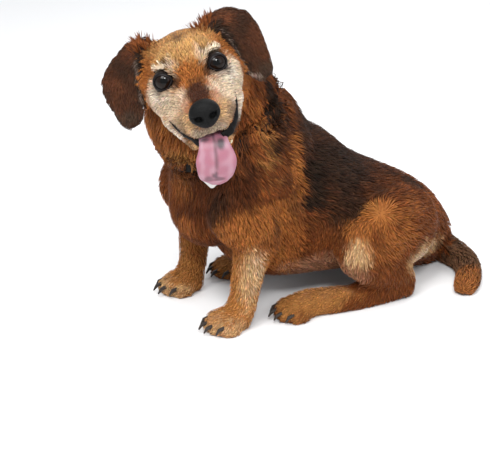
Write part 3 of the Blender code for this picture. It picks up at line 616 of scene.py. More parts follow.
# Each marking: frame, its centre, its half-sizes, tone, strength and how ragged its edge is, in millimetres.
# "h" is in head coordinates and on both sides, "l" and "r" the same on one side only, "b" in the model's.
markings = [
    # face
    ("h", (0, 20, 20), (40, 40, 30), "honey", 0.6, 4),
    ("h", (12, 0, 20), (18, 22, 17), "honey", 0.8, 3),
    ("h", (38, 22, -2), (16, 26, 22), "orange", 0.8, 3),
    ("h", (34, -2, -22), (22, 26, 19), "cream", 0.95, 4),
    ("h", (20, -32, -26), (18, 32, 18), "cream", 0.85, 4),
    ("h", (29, -4, -14), (16, 14, 9), "white", 0.7, 2),
    ("h", (26.2, -6, -1.8), (15.2, 14, 13.8), "umber", 0.9, 2),
    ("h", (14, -13, -7), (6, 8, 5), "umber", 0.8, 2),
    ("h", (27, -2, 11.2), (17, 12, 3), "cream", 0.95, 1),
    ("h", (39, 4, 3), (5, 10, 9), "cream", 0.6, 1),
    ("h", (13.5, -6, 10), (5, 10, 9), "cream", 0.45, 2),
    ("h", (17.5, -6, 14), (3.2, 10, 3.6), "sooty", 0.75, 1),
    ("h", (40, 10, -40), (16, 20, 20), "cream", 0.6, 5),
    ("h", (0, 18, 30), (7, 14, 10), "umber", 0.75, 4),
    ("h", (0, -20, -2), (10, 20, 12), "orange", 0.75, 4),
    ("h", (0, -52, -10), (13.5, 28, 14), "bridgeBrown", 0.95, 3),
    ("h", (17, -56, -20), (8, 16, 10), "pinkTan", 0.7, 3),
    ("h", (20, -56, -34), (16, 18, 12), "sand", 0.9, 3),
    ("h", (0, -64, -48), (24, 14, 12), "greySand", 0.95, 2),
    ("h", (24, -48, -38), (10, 16, 8), "lipGrey", 0.6, 4),
    ("h", (29, -30, -41), (7, 18, 5), "lipGrey", 0.35, 3),
    ("h", (38, -14, -43), (12, 16, 8), "white", 0.9, 2),
    ("h", (31, -28, -52), (11, 16, 8), "white", 0.9, 2),
    ("h", (19, -46, -60), (10, 14, 9), "sand", 0.85, 2),
    ("l", (23.5, -45, -57), (8, 16, 10), "mahogany", 0.95, 1),
    ("l", (28.5, -36, -51), (6, 8, 6), "sooty", 0.6, 1),
    ("r", (-30, -20, -25), (22, 28, 20), "sand", 0.25, 4),
    ("r", (-25, -44, -57.5), (6, 10, 6), "umber", 0.6, 1),
    # neck and breast
    ("b", (22, -135, 158), (50, 50, 40), "mahogany", 0.8, 12),
    ("b", (-14, -150, 166), (20, 20, 18), "orange", 0.5, 8),
    ("b", (-30, -165, 215), (45, 35, 26), "orange", 0.75, 8),
    ("b", (5, -165, 188), (22, 20, 6), "umber", 0.7, 4),
    ("b", (11, -159, 200), (18, 20, 10), "gold", 0.7, 5),
    ("b", (-10, -150, 118), (22, 18, 12), "orange", 0.55, 6),
    ("b", (42, -108, 215), (22, 18, 35), "redBrown", 0.8, 6),
    ("b", (45, -88, 235), (20, 10, 25), "orange", 0.8, 6),
    ("b", (45, -75, 210), (25, 10, 34), "gold", 0.6, 6),
    ("b", (43, -100, 198), (20, 13, 26), "umber", 0.8, 6),
    ("b", (28, -62, 242), (22, 14, 46), "black", 0.95, 6),
    ("b", (-15, -35, 260), (30, 20, 20), "black", 0.7, 8),
    ("b", (45, -104, 172), (20, 14, 26), "mahogany", 0.85, 6),
    ("b", (-38, -156, 170), (20, 20, 14), "mahogany", 0.75, 5),
    ("b", (40, -34, 197), (18, 9, 16), "orange", 0.6, 5),
    ("b", (30, -128, 150), (11, 14, 30), "sooty", 0.7, 4),
    # saddle, back and flank
    ("b", (0, 110, 150), (85, 90, 40), "mahogany", 0.8, 10),
    ("b", (-20, 35, 182), (85, 160, 62), "umber", 0.95, 8),
    ("b", (45, 20, 140), (30, 60, 50), "umber", 0.85, 10),
    ("b", (30, 30, 162), (34, 62, 26), "black", 0.65, 10),
    ("b", (45, -18, 155), (22, 15, 55), "black", 0.9, 8),
    ("b", (-20, -10, 205), (50, 40, 20), "black", 0.6, 10),
    ("b", (50, 24, 115), (20, 30, 28), "sooty", 0.7, 10),
    ("b", (10, 140, 112), (22, 22, 14), "sooty", 0.85, 6),
    ("b", (45, -42, 180), (22, 11, 36), "orange", 0.8, 6),
    ("b", (-92, -30, 160), (20, 50, 50), "umber", 0.6, 10),
    ("b", (45, -30, 85), (20, 45, 35), "redBrown", 0.5, 10),
    ("b", (40, 0, 45), (50, 50, 24), "pinkTan", 0.9, 6),
    # legs
    ("b", (55, -105, 122), (20, 24, 22), "orange", 0.5, 10),
    ("b", (30, -110, 45), (60, 40, 45), "gold", 0.55, 10),
    ("b", (-80, -110, 45), (40, 40, 60), "redBrown", 0.6, 10),
    ("b", (-80, -110, 30), (40, 40, 30), "gold", 0.5, 10),
    ("b", (52, -97, 58), (15, 18, 42), "sand", 0.85, 3),
    ("b", (56, -92, 60), (8, 12, 34), "cream", 0.45, 3),
    # painted shadow: a dark streak in the crease behind the left elbow
    ("b", (57, -70, 112), (16, 6, 26), "umber", 0.65, 3),
    ("b", (50, -85, 104), (14, 14, 10), "redBrown", 0.6, 4),
    ("b", (40, -112, 88), (10, 10, 20), "redBrown", 0.4, 6),
    ("b", (34, -125, 8), (30, 30, 12), "sand", 0.7, 4),
    ("b", (-82, -125, 8), (30, 30, 12), "sand", 0.7, 4),
    ("b", (67, 50, 108), (20, 24, 14), "orange", 0.95, 6),
    ("b", (67, 56, 110), (20, 12, 8), "gold", 0.25, 4),
    ("b", (70, 26, 98), (20, 18, 12), "orange", 0.85, 6),
    ("b", (85, 18, 76), (20, 18, 20), "sand", 1, 4),
    ("b", (80, 60, 78), (20, 40, 20), "orange", 0.75, 10),
    ("b", (70, 90, 106), (20, 40, 12), "orange", 0.4, 8),
    # under the rump: pale hair, made paler and larger as painted light where the rump shades it, most of all
    # by the cream layer
    ("b", (50, 127, 41), (36, 46, 20), "sand", 1, 5),
    ("b", (53, 128, 42), (20, 26, 12), "cream", 0.6, 4),
    ("b", (45, -20, 15), (30, 50, 20), "gold", 0.7, 8),
    ("b", (-92, -20, 15), (30, 50, 20), "gold", 0.7, 8),
    ("b", (-115, 50, 100), (20, 30, 20), "gold", 0.6, 10),
    # tail
    ("b", (40, 214, 36), (80, 30, 12), "black", 0.4, 6),
    ("b", (85, 165, 12), (35, 34, 14), "orange", 0.8, 6),
    # ears
    ("h", (40, 46, 27), (20, 12, 6), "earRed", 0.7, 3),
    ("h", (75, 46, 0), (16, 12, 30), "earRed", 0.5, 6),
    ("h", (68, 42, -34), (20, 12, 10), "earGrey", 0.6, 4),
    ("h", (50, 46, 22), (12, 12, 8), "earRed", 0.5, 3),
    ("h", (60, 44, 15), (14, 16, 10), "black", 0.45, 4),
    ("h", (36, 36, 20), (9, 20, 12), "black", 0.9, 2),
    ("h", (44, 32, 6), (8, 16, 14), "black", 0.9, 2),
    ("h", (48, 30, -10), (6, 14, 16), "black", 0.85, 2),
    ("h", (52, 29, -24), (7, 14, 10), "black", 0.75, 2),
]


# a marking's share at each point: its strength inside 0.60 of its ellipsoid, none outside 1.25 of it, and a
# ramp between, with the distance pushed about by a drift
def markShare(points, local, mark, seed):
    where, centre, half, _, strength, ragged = mark
    centre, half, ragged = np.array(centre) / 1000, np.array(half) / 1000, ragged / 1000
    if where == "b":
        away = (points - placeShift - centre) / half
    else:
        side = np.abs(local[:, :1]) if where == "h" else local[:, :1]
        away = (np.concatenate([side, local[:, 1:]], axis=1) - centre) / half
    size = np.min(half)
    wander = drift(points, ragged * 4, seed) * ragged / size
    return strength * (1 - ramp(np.linalg.norm(away, axis=1) + wander, 0.60, 1.25))


# the thin pale edge of each ear where it turns towards the face
earRims = np.concatenate([throughStations(line, 60) for line in (
    [(0.0385, 0.0360, 0.0200), (0.0430, 0.0310, 0.0120), (0.0470, 0.0295, 0.0010), (0.0490, 0.0302, -0.0090),
     (0.0508, 0.0295, -0.0190), (0.0550, 0.0292, -0.0280), (0.0640, 0.0318, -0.0360)],
    [(-0.0440, 0.0370, 0.0180), (-0.0470, 0.0310, 0.0085), (-0.0495, 0.0290, -0.0020),
     (-0.0520, 0.0283, -0.0130), (-0.0545, 0.0275, -0.0230)],
)])


clouds = {"mean": 1.05, "amount": 0.14, "onBody": 0.30, "sizes": ((0.022, 91), (0.010, 92)), "least": 0.30}


# The coat's colour at each point: its part's tone, then each marking mixed over it, then the ears' pale rims,
# and all of it times a soft cloud about 1, which is stronger on neck and trunk. Markings in an ear's tone, and
# black ones in head coordinates, are the ears' alone, and the rest leave the ears as they are.
def coatTone(points, part):
    local = toHead(points)
    base = np.array([tones[partTones[fleshNodes[name]]] for name in fleshNames])
    colour = base[part]
    onEar = np.isin(part, [i for i, name in enumerate(fleshNames) if fleshNodes[name] == "ear"])
    for seed, mark in enumerate(markings):
        share = markShare(points, local, mark, seed)
        if mark[3].startswith("ear") or (mark[0] == "h" and mark[3] == "black"):
            share = share * onEar
        else:
            share = share * ~onEar
        colour = colour + (np.array(tones[mark[3]]) - colour) * share[:, None]
    ear = np.nonzero(onEar)[0]
    fromRim = np.sqrt(((local[ear][:, None] - earRims[None]) ** 2).sum(axis=-1).min(axis=1))
    rim = 0.75 * (1 - ramp(fromRim, 0.0012, 0.0026))[:, None]
    colour[ear] = colour[ear] + (np.array(tones["lipGrey"]) * 2 - colour[ear]) * rim
    body = np.isin(part, [fleshNames.index("neck"), fleshNames.index("trunk")])
    swing = clouds["amount"] + clouds["onBody"] * body
    cloud = clouds["mean"] + swing * sum(drift(points, size, seed) for size, seed in clouds["sizes"])
    return colour * np.maximum(cloud, clouds["least"])[:, None]


# the skin has the coat's own tones, as dark as the roots of the hair
paintMesh(skinMesh, evenOut(coatTone(skinAt, partOf), skinEdges, 1) * skin["shade"])
skinMesh.name = "skin"
skinMesh.shade_smooth()
addPiece("skin", skinMesh, skinFinish, fleshNames)


# the skin's own unwrap: islands of faces whose normals are within 66 degrees, in the map the coat shares
def unwrapSkin():
    piece = bpy.data.objects["skin"]
    skinMesh.uv_layers.new(name="OFBake")
    bpy.context.view_layer.objects.active = piece
    piece.select_set(True)
    bpy.ops.object.mode_set(mode="EDIT")
    bpy.ops.mesh.select_all(action="SELECT")
    bpy.ops.uv.smart_project(angle_limit=math.radians(66), island_margin=0.002)
    bpy.ops.object.mode_set(mode="OBJECT")
    piece.select_set(False)
    return readField(skinMesh.uv_layers["OFBake"].uv, "vector", 2)


skinUv = unwrapSkin()
skinMesh.calc_loop_triangles()
triPoints = readField(skinMesh.loop_triangles, "vertices", 3, np.int32)
triLoops = readField(skinMesh.loop_triangles, "loops", 3, np.int32)
print("skin unwrapped:", len(triPoints), "triangles")


# the order of places along a curve that fills space: the bits of x, y and z of their cells, taken in turn
def curveOrder(points, cell):
    cells = ((points - points.min(axis=0)) / cell).astype(np.int64)
    key = np.zeros(len(points), np.int64)
    for bit in range(8):
        for axis in range(3):
            key |= ((cells[:, axis] >> bit) & 1) << (3 * bit + axis)
    return np.argsort(key, kind="stable")


# roots spread evenly over the chosen triangles: equal steps of the area summed along the curve, each with a
# random place in its triangle
def sowRoots(chosen, count, draw):
    corners = skinAt[triPoints[chosen]]
    order = curveOrder(corners.mean(axis=1), 0.004)
    chosen, corners = chosen[order], corners[order]
    area = np.linalg.norm(np.cross(corners[:, 1] - corners[:, 0], corners[:, 2] - corners[:, 0]), axis=1)
    steps = (np.arange(count) + draw.uniform(0, 1, count)) / count * area.sum()
    picked = np.minimum(np.searchsorted(np.cumsum(area), steps), len(chosen) - 1)
    u, v = draw.uniform(0, 1, (2, count))
    over = u + v > 1
    u, v = np.where(over, 1 - u, u), np.where(over, 1 - v, v)
    shares = np.stack([1 - u - v, u, v], -1)
    corner = triPoints[chosen[picked]]
    at = (skinAt[corner] * shares[..., None]).sum(axis=1)
    uv = (skinUv[triLoops[chosen[picked]]] * shares[..., None]).sum(axis=1)
    return at, corner[:, 0], uv


# black lip and painted shade of the open mouth's gap on each side, from its corner to the tongue: x, y, z and
# its half-width
lipAndShadeLines = {
    "right": [(-0.0360, -0.0220, -0.0336, 0.0006), (-0.0345, -0.0290, -0.0385, 0.0013),
              (-0.0300, -0.0380, -0.0442, 0.0024), (-0.0210, -0.0500, -0.0520, 0.0036),
              (-0.0148, -0.0560, -0.0558, 0.0042), (-0.0080, -0.0585, -0.0572, 0.0032)],
    "left": [(0.0347, -0.0180, -0.0314, 0.0006), (0.0325, -0.0240, -0.0355, 0.0012),
             (0.0298, -0.0300, -0.0402, 0.0022), (0.0256, -0.0380, -0.0488, 0.0038),
             (0.0170, -0.0500, -0.0555, 0.0046), (0.0090, -0.0560, -0.0568, 0.0034)],
}
lipAndShadePaths = {side: throughStations(stations, 40) for side, stations in lipAndShadeLines.items()}
lipAndShadeSpots = np.concatenate(list(lipAndShadePaths.values()))
lipAndShadeGrid = nearGrid(toModel(lipAndShadeSpots[:, :3]), 0.004, 2)


# how far points lie outside the lip and painted mouth shade: their distance to its nearest spot less its
# half-width there
def fromLipAndShade(points):
    near = nearest(lipAndShadeGrid, points)
    return np.linalg.norm(points - lipAndShadeGrid["points"][near], axis=1) - lipAndShadeSpots[near, 3]


bareNose = {"at": (0, -0.0700, -0.0265), "half": (0.0150, 0.0110, 0.0138)}
bareEye = {"reach": 0.0150, "angle": eye["open"] + 7}
lipAndShadeMargin = 0.0011


# places that stay bare: a cone about each eye's opening, the nose's ellipsoid, the lip and painted mouth
# shade, and the soles
def bare(points, normals):
    local = toHead(points)
    hidden = (points[:, 2] < 0.0012) & (normals[:, 2] < -0.5)
    for flip in eyeSides.values():
        out = local - np.array(eye["at"]) * flip
        angle = np.degrees(np.arccos(np.clip(unit(out) @ unit(np.array(eye["lidWay"]) * flip), -1, 1)))
        hidden |= (np.linalg.norm(out, axis=1) < bareEye["reach"]) & (angle < bareEye["angle"])
    inNose = np.linalg.norm((local - bareNose["at"]) / bareNose["half"], axis=1) < 1
    return hidden | inNose | (fromLipAndShade(points) < lipAndShadeMargin)


blade = {"patch": 0.0028, "rootShade": 0.66, "tipShade": 1.16, "thick": 0.55}
growth = {
    "sunk": 0.0004,  # the root's depth in the skin
    "layers": (0.50, 1.08),  # each strand's share of the coat's depth
    "overStrap": (0.0004, 0.0016),  # height over the strap: lowest, and by layer
    "lockReach": 0.012,
    "lockShare": 0.45,  # of its own place that a strand keeps beside its leader
    "offSkin": 0.0125,  # tips further out are dropped
    "floor": 0.0004,
}


# Strands are closed blades: three points at each step t of the path, at half the width x (0.75 + 0.55 t) x
# (1 - t)^0.35 to either side and above, and one at the tip. Each has its own tone, darker at the root, and a
# small patch of the skin's unwrap about its root.
def makeBlades(name, path, normals, ways, wide, tone, uv):
    rings, count = len(path) - 1, len(path[0])
    corners = []
    for step in range(rings):
        share = step / rings
        half = (wide * 0.5 * (0.75 + 0.55 * share) * (1 - share) ** 0.35)[:, None]
        side = unit(np.cross(ways[step], normals[step]))
        rise = normals[step] * half * blade["thick"]
        corners += [path[step] - side * half, path[step] + rise, path[step] + side * half]
    corners.append(path[rings])
    points = np.stack(corners, axis=1)
    perStrand = 3 * rings + 1
    last, tip = 3 * (rings - 1), perStrand - 1
    pattern = [(0, 1, 2)]
    for step in range(rings - 1):
        for i in range(3):
            j = (i + 1) % 3
            a, b, c, d = 3 * step + i, 3 * step + j, 3 * step + 3 + j, 3 * step + 3 + i
            pattern += [(a, c, b), (a, d, c)]
    pattern += [(last + (i + 1) % 3, last + i, tip) for i in range(3)]
    faces = (np.array(pattern)[None] + (np.arange(count) * perStrand)[:, None, None]).reshape(-1, 3)
    mesh = makeMesh(name, points.reshape(-1, 3), facesOut(points.reshape(-1, 3), faces))
    along = np.repeat(np.arange(rings + 1) / rings, [3] * rings + [1])
    shade = blade["rootShade"] + (blade["tipShade"] - blade["rootShade"]) * along
    paintMesh(mesh, (tone[:, None] * shade[None, :, None]).reshape(-1, 3))
    across = np.append(np.tile((-1.0, 0.0, 1.0), rings), 0)
    patch = np.stack([across / 2, along - 0.5], -1) * blade["patch"]
    flat = np.clip((uv[:, None] + patch[None]).reshape(-1, 2), 0, 1)
    layer = mesh.uv_layers.new(name="OFBake")
    corner = readField(mesh.loops, "vertex_index", 1, np.int32).ravel()
    layer.uv.foreach_set("vector", flat[corner].astype(np.float32).ravel())
    addPiece(name, mesh, hairFinish)
    print(name, count, "strands,", len(faces), "triangles")


# Each step of a strand goes on by a share of its length, is set at its height over what it covers, the coat's
# depth x its layer x (1 - (1 - t)^2), and turns to the lie there. The strands of a lock then lean towards the
# strand that leads it, by t^1.2. With a lift they climb what stands over the skin, and those whose tips end
# far off it are dropped.
def growCoat(name, chosen, look):
    draw = np.random.default_rng(look["seed"])
    at, own, uv = sowRoots(chosen, look["count"], draw)
    keep = ~bare(at, skinNormal[own])
    at, own, uv = at[keep], own[keep], uv[keep]
    count, rings = len(at), look["rings"]
    length = np.maximum(sizes[own, 0], look.get("least", 0)) * draw.uniform(0.75, 1.2, count)
    depth = sizes[own, 1] * ramp(at[:, 2], -0.004, 0.010)
    layer = draw.uniform(*growth["layers"], count)
    swing = drift(at, 0.018, look["seed"] + 1) * look["wave"] + draw.normal(0, look["messy"], count)
    path = [at - skinNormal[own] * growth["sunk"]]
    place, normal, way = at, skinNormal[own], lie[own]
    normals, ways = [normal], [way]
    for step in range(1, rings + 1):
        share = step / rings
        side = np.cross(normal, way)
        heading = unit(way + side * (swing * (0.4 + 0.6 * share))[:, None])
        place = place + heading * (length / rings)[:, None]
        near = nearest(coverGrid, place + normal * look.get("lift", 0))
        normal, way = coverNormal[near], unit(0.5 * heading + coverLie[near])
        height = ((place - coverAt[near]) * normal).sum(axis=1)
        wanted = depth * layer * (1 - (1 - share) ** 2) + 0.0002
        wanted = np.where(overStrap[near], growth["overStrap"][0] + growth["overStrap"][1] * layer, wanted)
        place = place + normal * (wanted - height)[:, None]
        path.append(place)
        normals.append(normal)
        ways.append(heading)
    lockSeeds = draw.choice(count, max(count // look["lock"], 2), replace=False)
    leader = lockSeeds[nearest(nearGrid(at[lockSeeds], 0.006, 2), at)]
    gathered = (np.linalg.norm(at[leader] - at, axis=1) < growth["lockReach"]) * look["gather"]
    for step in range(1, rings + 1):
        pull = gathered * (step / rings) ** 1.2
        goal = path[step][leader] + (at - at[leader]) * growth["lockShare"]
        path[step] = path[step] + (goal - path[step]) * pull[:, None]
        path[step][:, 2] = np.maximum(path[step][:, 2], growth["floor"])
    if "lift" in look:
        tip = path[rings]
        low = np.linalg.norm(tip - skinAt[nearest(skinGrid, tip)], axis=1) < growth["offSkin"]
        path, normals, ways = ([step[low] for step in steps] for steps in (path, normals, ways))
        at, own, uv, count = at[low], own[low], uv[low], int(low.sum())
    wide = look["wide"] * draw.uniform(0.7, 1.3, count)
    tone = coatTone(at + draw.normal(0, look["mixing"], at.shape), partOf[own])
    tone = tone * (1 + draw.normal(0, 0.20, count))[:, None] * (1 + draw.normal(0, 0.05, (count, 3)))
    makeBlades(name, path, normals, ways, wide, tone, uv)


triPart = partOf[triPoints[:, 0]]
triMiddle = skinAt[triPoints].mean(axis=1)


# which of the skin's triangles lie on a node
def trianglesOf(name):
    return triPart == fleshNames.index(name)


shortHair = {"rings": 2, "wide": 0.00088, "lock": 5, "gather": 0.3,
             "messy": 0.16, "wave": 0.30, "mixing": 0.0008}
bodyHair = {"rings": 2, "wide": 0.0012, "lock": 7, "gather": 0.35,
            "messy": 0.13, "wave": 0.22, "mixing": 0.0020}
longHair = {"rings": 2, "wide": 0.00115, "lock": 8, "gather": 0.35,
            "messy": 0.12, "wave": 0.25, "mixing": 0.0025}
skullHair = {**shortHair, "wide": 0.0010}
earHair = {**skullHair, "messy": 0.12, "gather": 0.2}
ruffHair = {**longHair, "rings": 4, "wide": 0.0014, "lift": 0.006, "least": 0.025}
foreHair = {**bodyHair, "wide": 0.0013}

onHead = trianglesOf("head")
onFace = onHead & (toHead(triMiddle)[:, 1] < 0.020)
onTrunk = trianglesOf("trunk")
onBreast = onTrunk & (triMiddle[:, 1] - placeShift[1] < -0.045)
# the ruff: long hair from just before the strap that rides over it, so that little of it shows
strapAhead = strapAt[nearest(strapGrid, triMiddle)] - triMiddle
aheadShare = (unit(strapAhead) * lie[triPoints[:, 0]]).sum(axis=1)
nearStrap = np.linalg.norm(strapAhead, axis=1) < strap["ruffReach"]
onRuff = nearStrap & (aheadShare > strap["ruffBehind"]) & ~onHead

coatPieces = [  # name, triangles it grows on, hair, strands, seed, slot
    ("face", onFace, shortHair, 16500, 11, "coat_face"),
    ("skull", onHead & ~onFace, skullHair, 10000, 12, "coat_face"),
    ("ear_left", trianglesOf("ear_left"), earHair, 4800, 13, "coat_dark"),
    ("ear_right", trianglesOf("ear_right"), earHair, 4800, 14, "coat_dark"),
    ("neck", trianglesOf("neck"), longHair, 13000, 15, "coat"),
    ("ruff", onRuff, ruffHair, 5800, 23, "coat"),
    ("breast", onBreast, longHair, 12000, 16, "coat"),
    ("back", onTrunk & ~onBreast, bodyHair, 16000, 17, "coat"),
    ("foreleg_left", trianglesOf("foreleg_left"), foreHair, 5200, 18, "coat_tan"),
    ("foreleg_right", trianglesOf("foreleg_right"), foreHair, 5200, 19, "coat_tan"),
    ("thigh_left", trianglesOf("hindleg_left"), bodyHair, 7600, 20, "coat_tan"),
    ("thigh_right", trianglesOf("hindleg_right"), bodyHair, 7600, 21, "coat_tan"),
    ("tail", trianglesOf("tail"), longHair, 3500, 22, "coat"),
]
for name, where, hair, count, seed, slot in coatPieces:
    growCoat("coat_" + name, np.nonzero(where)[0], {**hair, "count": count, "seed": seed})

# Tufts stand up where the ears leave the crown, and a few long hairs on each brow.
tufts = [  # its middle in head coordinates, its spread, the way it stands, length, strands
    ((0.0255, 0.0440, 0.0285), 0.0045, (0.05, 0.15, 1.00), 0.0130, 240),
    ((-0.0360, 0.0460, 0.0290), 0.0040, (-0.05, 0.10, 1.00), 0.0130, 260),
    ((0.0300, -0.0020, 0.0130), 0.0012, (0.55, -0.90, 0.60), 0.0080, 4),
    ((-0.0300, -0.0020, 0.0130), 0.0012, (-0.55, -0.90, 0.60), 0.0080, 4),
]


# A tuft's roots lie on the skin about its middle. Its strands fan out with their place, and at the share t of
# their length they hang 0.12 t^2 of it below a straight line.
def growTufts():
    draw = np.random.default_rng(31)
    path, wide, own, ways = [[], [], [], []], [], [], []
    for middle, spread, way, length, count in tufts:
        near = nearest(skinGrid, toModel(np.array(middle) + draw.normal(0, spread, (count, 3))))
        at = skinAt[near]
        fan = unit(toHead(at) - middle) * 0.35 + draw.normal(0, 0.12, (count, 3))
        heading = unit(unit(np.array(way)) + fan) @ headTurn.T
        reach = length * draw.uniform(0.6, 1.1, count)[:, None]
        for step in range(4):
            share = step / 3
            path[step].append(at + heading * reach * share - np.array((0, 0, 1)) * reach * 0.12 * share**2)
        ways.append(heading)
        own.append(near)
        wide.append(np.full(count, 0.0009))
    path = [np.concatenate(step) for step in path]
    own, ways = np.concatenate(own), np.concatenate(ways)
    tone = np.array(tones["redBrown"]) * draw.uniform(0.5, 1.3, len(own))[:, None]
    corner = readField(skinMesh.loops, "vertex_index", 1, np.int32).ravel()
    loopOf = np.zeros(len(skinAt), int)
    loopOf[corner] = np.arange(len(corner))
    makeBlades("coat_tufts", path, [skinNormal[own]] * 4, [ways] * 4, np.concatenate(wide), tone,
               skinUv[loopOf[own]])


growTufts()

eyeball = {
    "bulge": 0.0006,  # the clear front over the iris
    "pupil": (17, 20),  # degrees from the gaze over which it ends
    "iris": (37, 43),
    "pupilTone": (0.002, 0.002, 0.002),
    "irisTone": (0.0075, 0.0032, 0.0018),
    "rimTone": (0.010, 0.007, 0.006),
    "streaks": 23,
}


# A ball about the gaze: at the angle a from it the radius is the ball's and a bulge that fades from 20 to 46
# degrees. By a as well the tone goes from pupil to iris, with fine streaks round it, and to the dark rim.
def makeEyeball(side, flip):
    look = unit(unit(np.array(eye["gaze"])) + np.array((eye["outwards"], 0, 0)) * flip)
    across = unit(np.cross(look, (0, 0, 1)))
    upward = np.cross(across, look)
    turns = np.linspace(0, 2 * math.pi, 48, endpoint=False)
    angles = np.radians(np.concatenate([np.linspace(1.5, 50, 34), np.linspace(56, 176, 16)]))
    radius = eye["radius"] + eyeball["bulge"] * (1 - ramp(np.degrees(angles), 20, 46))
    ring = np.cos(turns)[None, :, None] * across + np.sin(turns)[None, :, None] * upward
    grid = (np.cos(angles) * radius)[:, None, None] * look + (np.sin(angles) * radius)[:, None, None] * ring
    mesh = closedTube("eyeball_" + side, toModel(grid + np.array(eye["at"]) * flip))
    degrees = np.degrees(np.append(np.repeat(angles, len(turns)), (0, math.pi)))
    streak = np.append(1 + 0.25 * np.sin(np.tile(turns, len(angles)) * eyeball["streaks"]), (1, 1))
    pupilShare = (1 - ramp(degrees, *eyeball["pupil"]))[:, None]
    rimShare = ramp(degrees, *eyeball["iris"])[:, None]
    tone = np.array(eyeball["irisTone"]) * streak[:, None]
    tone = tone * (1 - pupilShare) + np.array(eyeball["pupilTone"]) * pupilShare
    paintMesh(mesh, tone * (1 - rimShare) + np.array(eyeball["rimTone"]) * rimShare)
    addPiece("eyeball_" + side, mesh, eyeFinish, ["eye_" + side])


lids = {"wide": 0.0017, "thick": 0.0006, "tall": 0.90, "corner": 10}


# The lid's rim is a flat tube carried round the eyeball at an angle from the way the lids face: that of the
# opening, less above and below by 1 - tall, and more by corner x exp(-(turn / 0.35)^2) at the inner corner.
def makeLid(side, flip):
    axis = unit(np.array(eye["lidWay"]) * flip)
    across = unit(np.cross(axis, (0, 0, 1))) * -flip[0]
    upward = unit(np.cross(across, axis)) * -flip[0]
    turns = np.linspace(0, 2 * math.pi, 56, endpoint=False)
    profile = np.linspace(0, 2 * math.pi, 10, endpoint=False)
    inner = np.exp(-((np.abs(turns % (2 * math.pi) - math.pi)) / 0.35) ** 2)
    opening = np.radians(eye["open"] * (1 - (1 - lids["tall"]) * np.sin(turns) ** 2) + lids["corner"] * inner)
    ring = np.cos(turns)[:, None] * across + np.sin(turns)[:, None] * upward
    reach = opening[:, None] + lids["wide"] / eye["radius"] * np.cos(profile)[None]
    radius = eye["radius"] + 0.0004 + lids["thick"] * (0.5 + np.sin(profile))[None]
    grid = (np.cos(reach) * radius)[..., None] * axis + (np.sin(reach) * radius)[..., None] * ring[:, None]
    points = toModel(grid + np.array(eye["at"]) * flip).reshape(-1, 3)
    rows, around = len(turns), len(profile)
    r, a = np.meshgrid(np.arange(rows), np.arange(around), indexing="ij")
    r2, a2 = (r + 1) % rows, (a + 1) % around
    quads = np.stack([r * around + a, r * around + a2, r2 * around + a2, r2 * around + a], -1).reshape(-1, 4)
    faces = facesOut(points, np.concatenate([quads[:, [0, 1, 2]], quads[:, [0, 2, 3]]]))
    addPiece("lids_" + side, makeMesh("lids_" + side, points, faces), rimFinish)


for side, flip in eyeSides.items():
    makeEyeball(side, flip)
for side, flip in eyeSides.items():
    makeLid(side, flip)
print("eyes made")

nosePad = {
    "at": (0, -0.0705, -0.0265),
    "half": (0.0150, 0.0100, 0.0137),
    "nostril": (0.0068, 0.0022),  # how far it is to the side and below
    "nostrilDepth": 0.0050,
    "grooveDepth": 0.0009,
    "tone": (0.0035, 0.0035, 0.0035),
}


# The leather is a ball before the muzzle, its front squared off as |y|^0.75 and 20 % narrower below. Down its
# middle runs a groove exp(-(x / 0.9 mm)^2), and each nostril is a round hollow with a slit going outwards,
# painted darker as painted shade.
def makeNose():
    turns = np.linspace(0, 2 * math.pi, 96, endpoint=False)
    a, t = np.meshgrid(np.radians(np.linspace(2, 165, 60)), turns, indexing="ij")
    across, up, ahead = np.sin(a) * np.cos(t), np.sin(a) * np.sin(t), np.cos(a)
    x = across * (1 - 0.20 * ramp(-up, 0.1, 1.0)) * nosePad["half"][0]
    y = -np.sign(ahead) * np.abs(ahead) ** 0.75 * nosePad["half"][1]
    z = up * nosePad["half"][2]
    groove = np.exp(-((x / 0.0009) ** 2)) * ramp(-z, 0.000, 0.008) * nosePad["grooveDepth"]
    hollow = 0
    for sign in (-1, 1):
        u = (x * sign - nosePad["nostril"][0]) / 0.0034
        v = (z + nosePad["nostril"][1]) / 0.0030
        outwards = u - 0.9
        slit = np.exp(-((outwards / 1.1) ** 2) * (outwards > 0) - outwards**2 * 0.6 * (outwards < 0)
                      - ((v - 0.55 * u) / 0.50) ** 2)
        hollow = hollow + np.exp(-(u**2 + v**2) ** 1.5) + 0.45 * slit
    hollow = np.clip(hollow, 0, 1) * ramp(ahead, 0.05, 0.35)
    y = y + hollow * nosePad["nostrilDepth"] + groove
    mesh = closedTube("nose_pad", toModel(np.stack([x, y, z], -1) + nosePad["at"]))
    # painted shade: each nostril's hollow darkened by how deep it is
    dark = np.append(1 - 0.85 * hollow.ravel(), (1, 1))
    paintMesh(mesh, dark[:, None] * np.array(nosePad["tone"]))
    addPiece("nose_pad", mesh, noseFinish, ["nose"])


makeNose()
print("nose made")

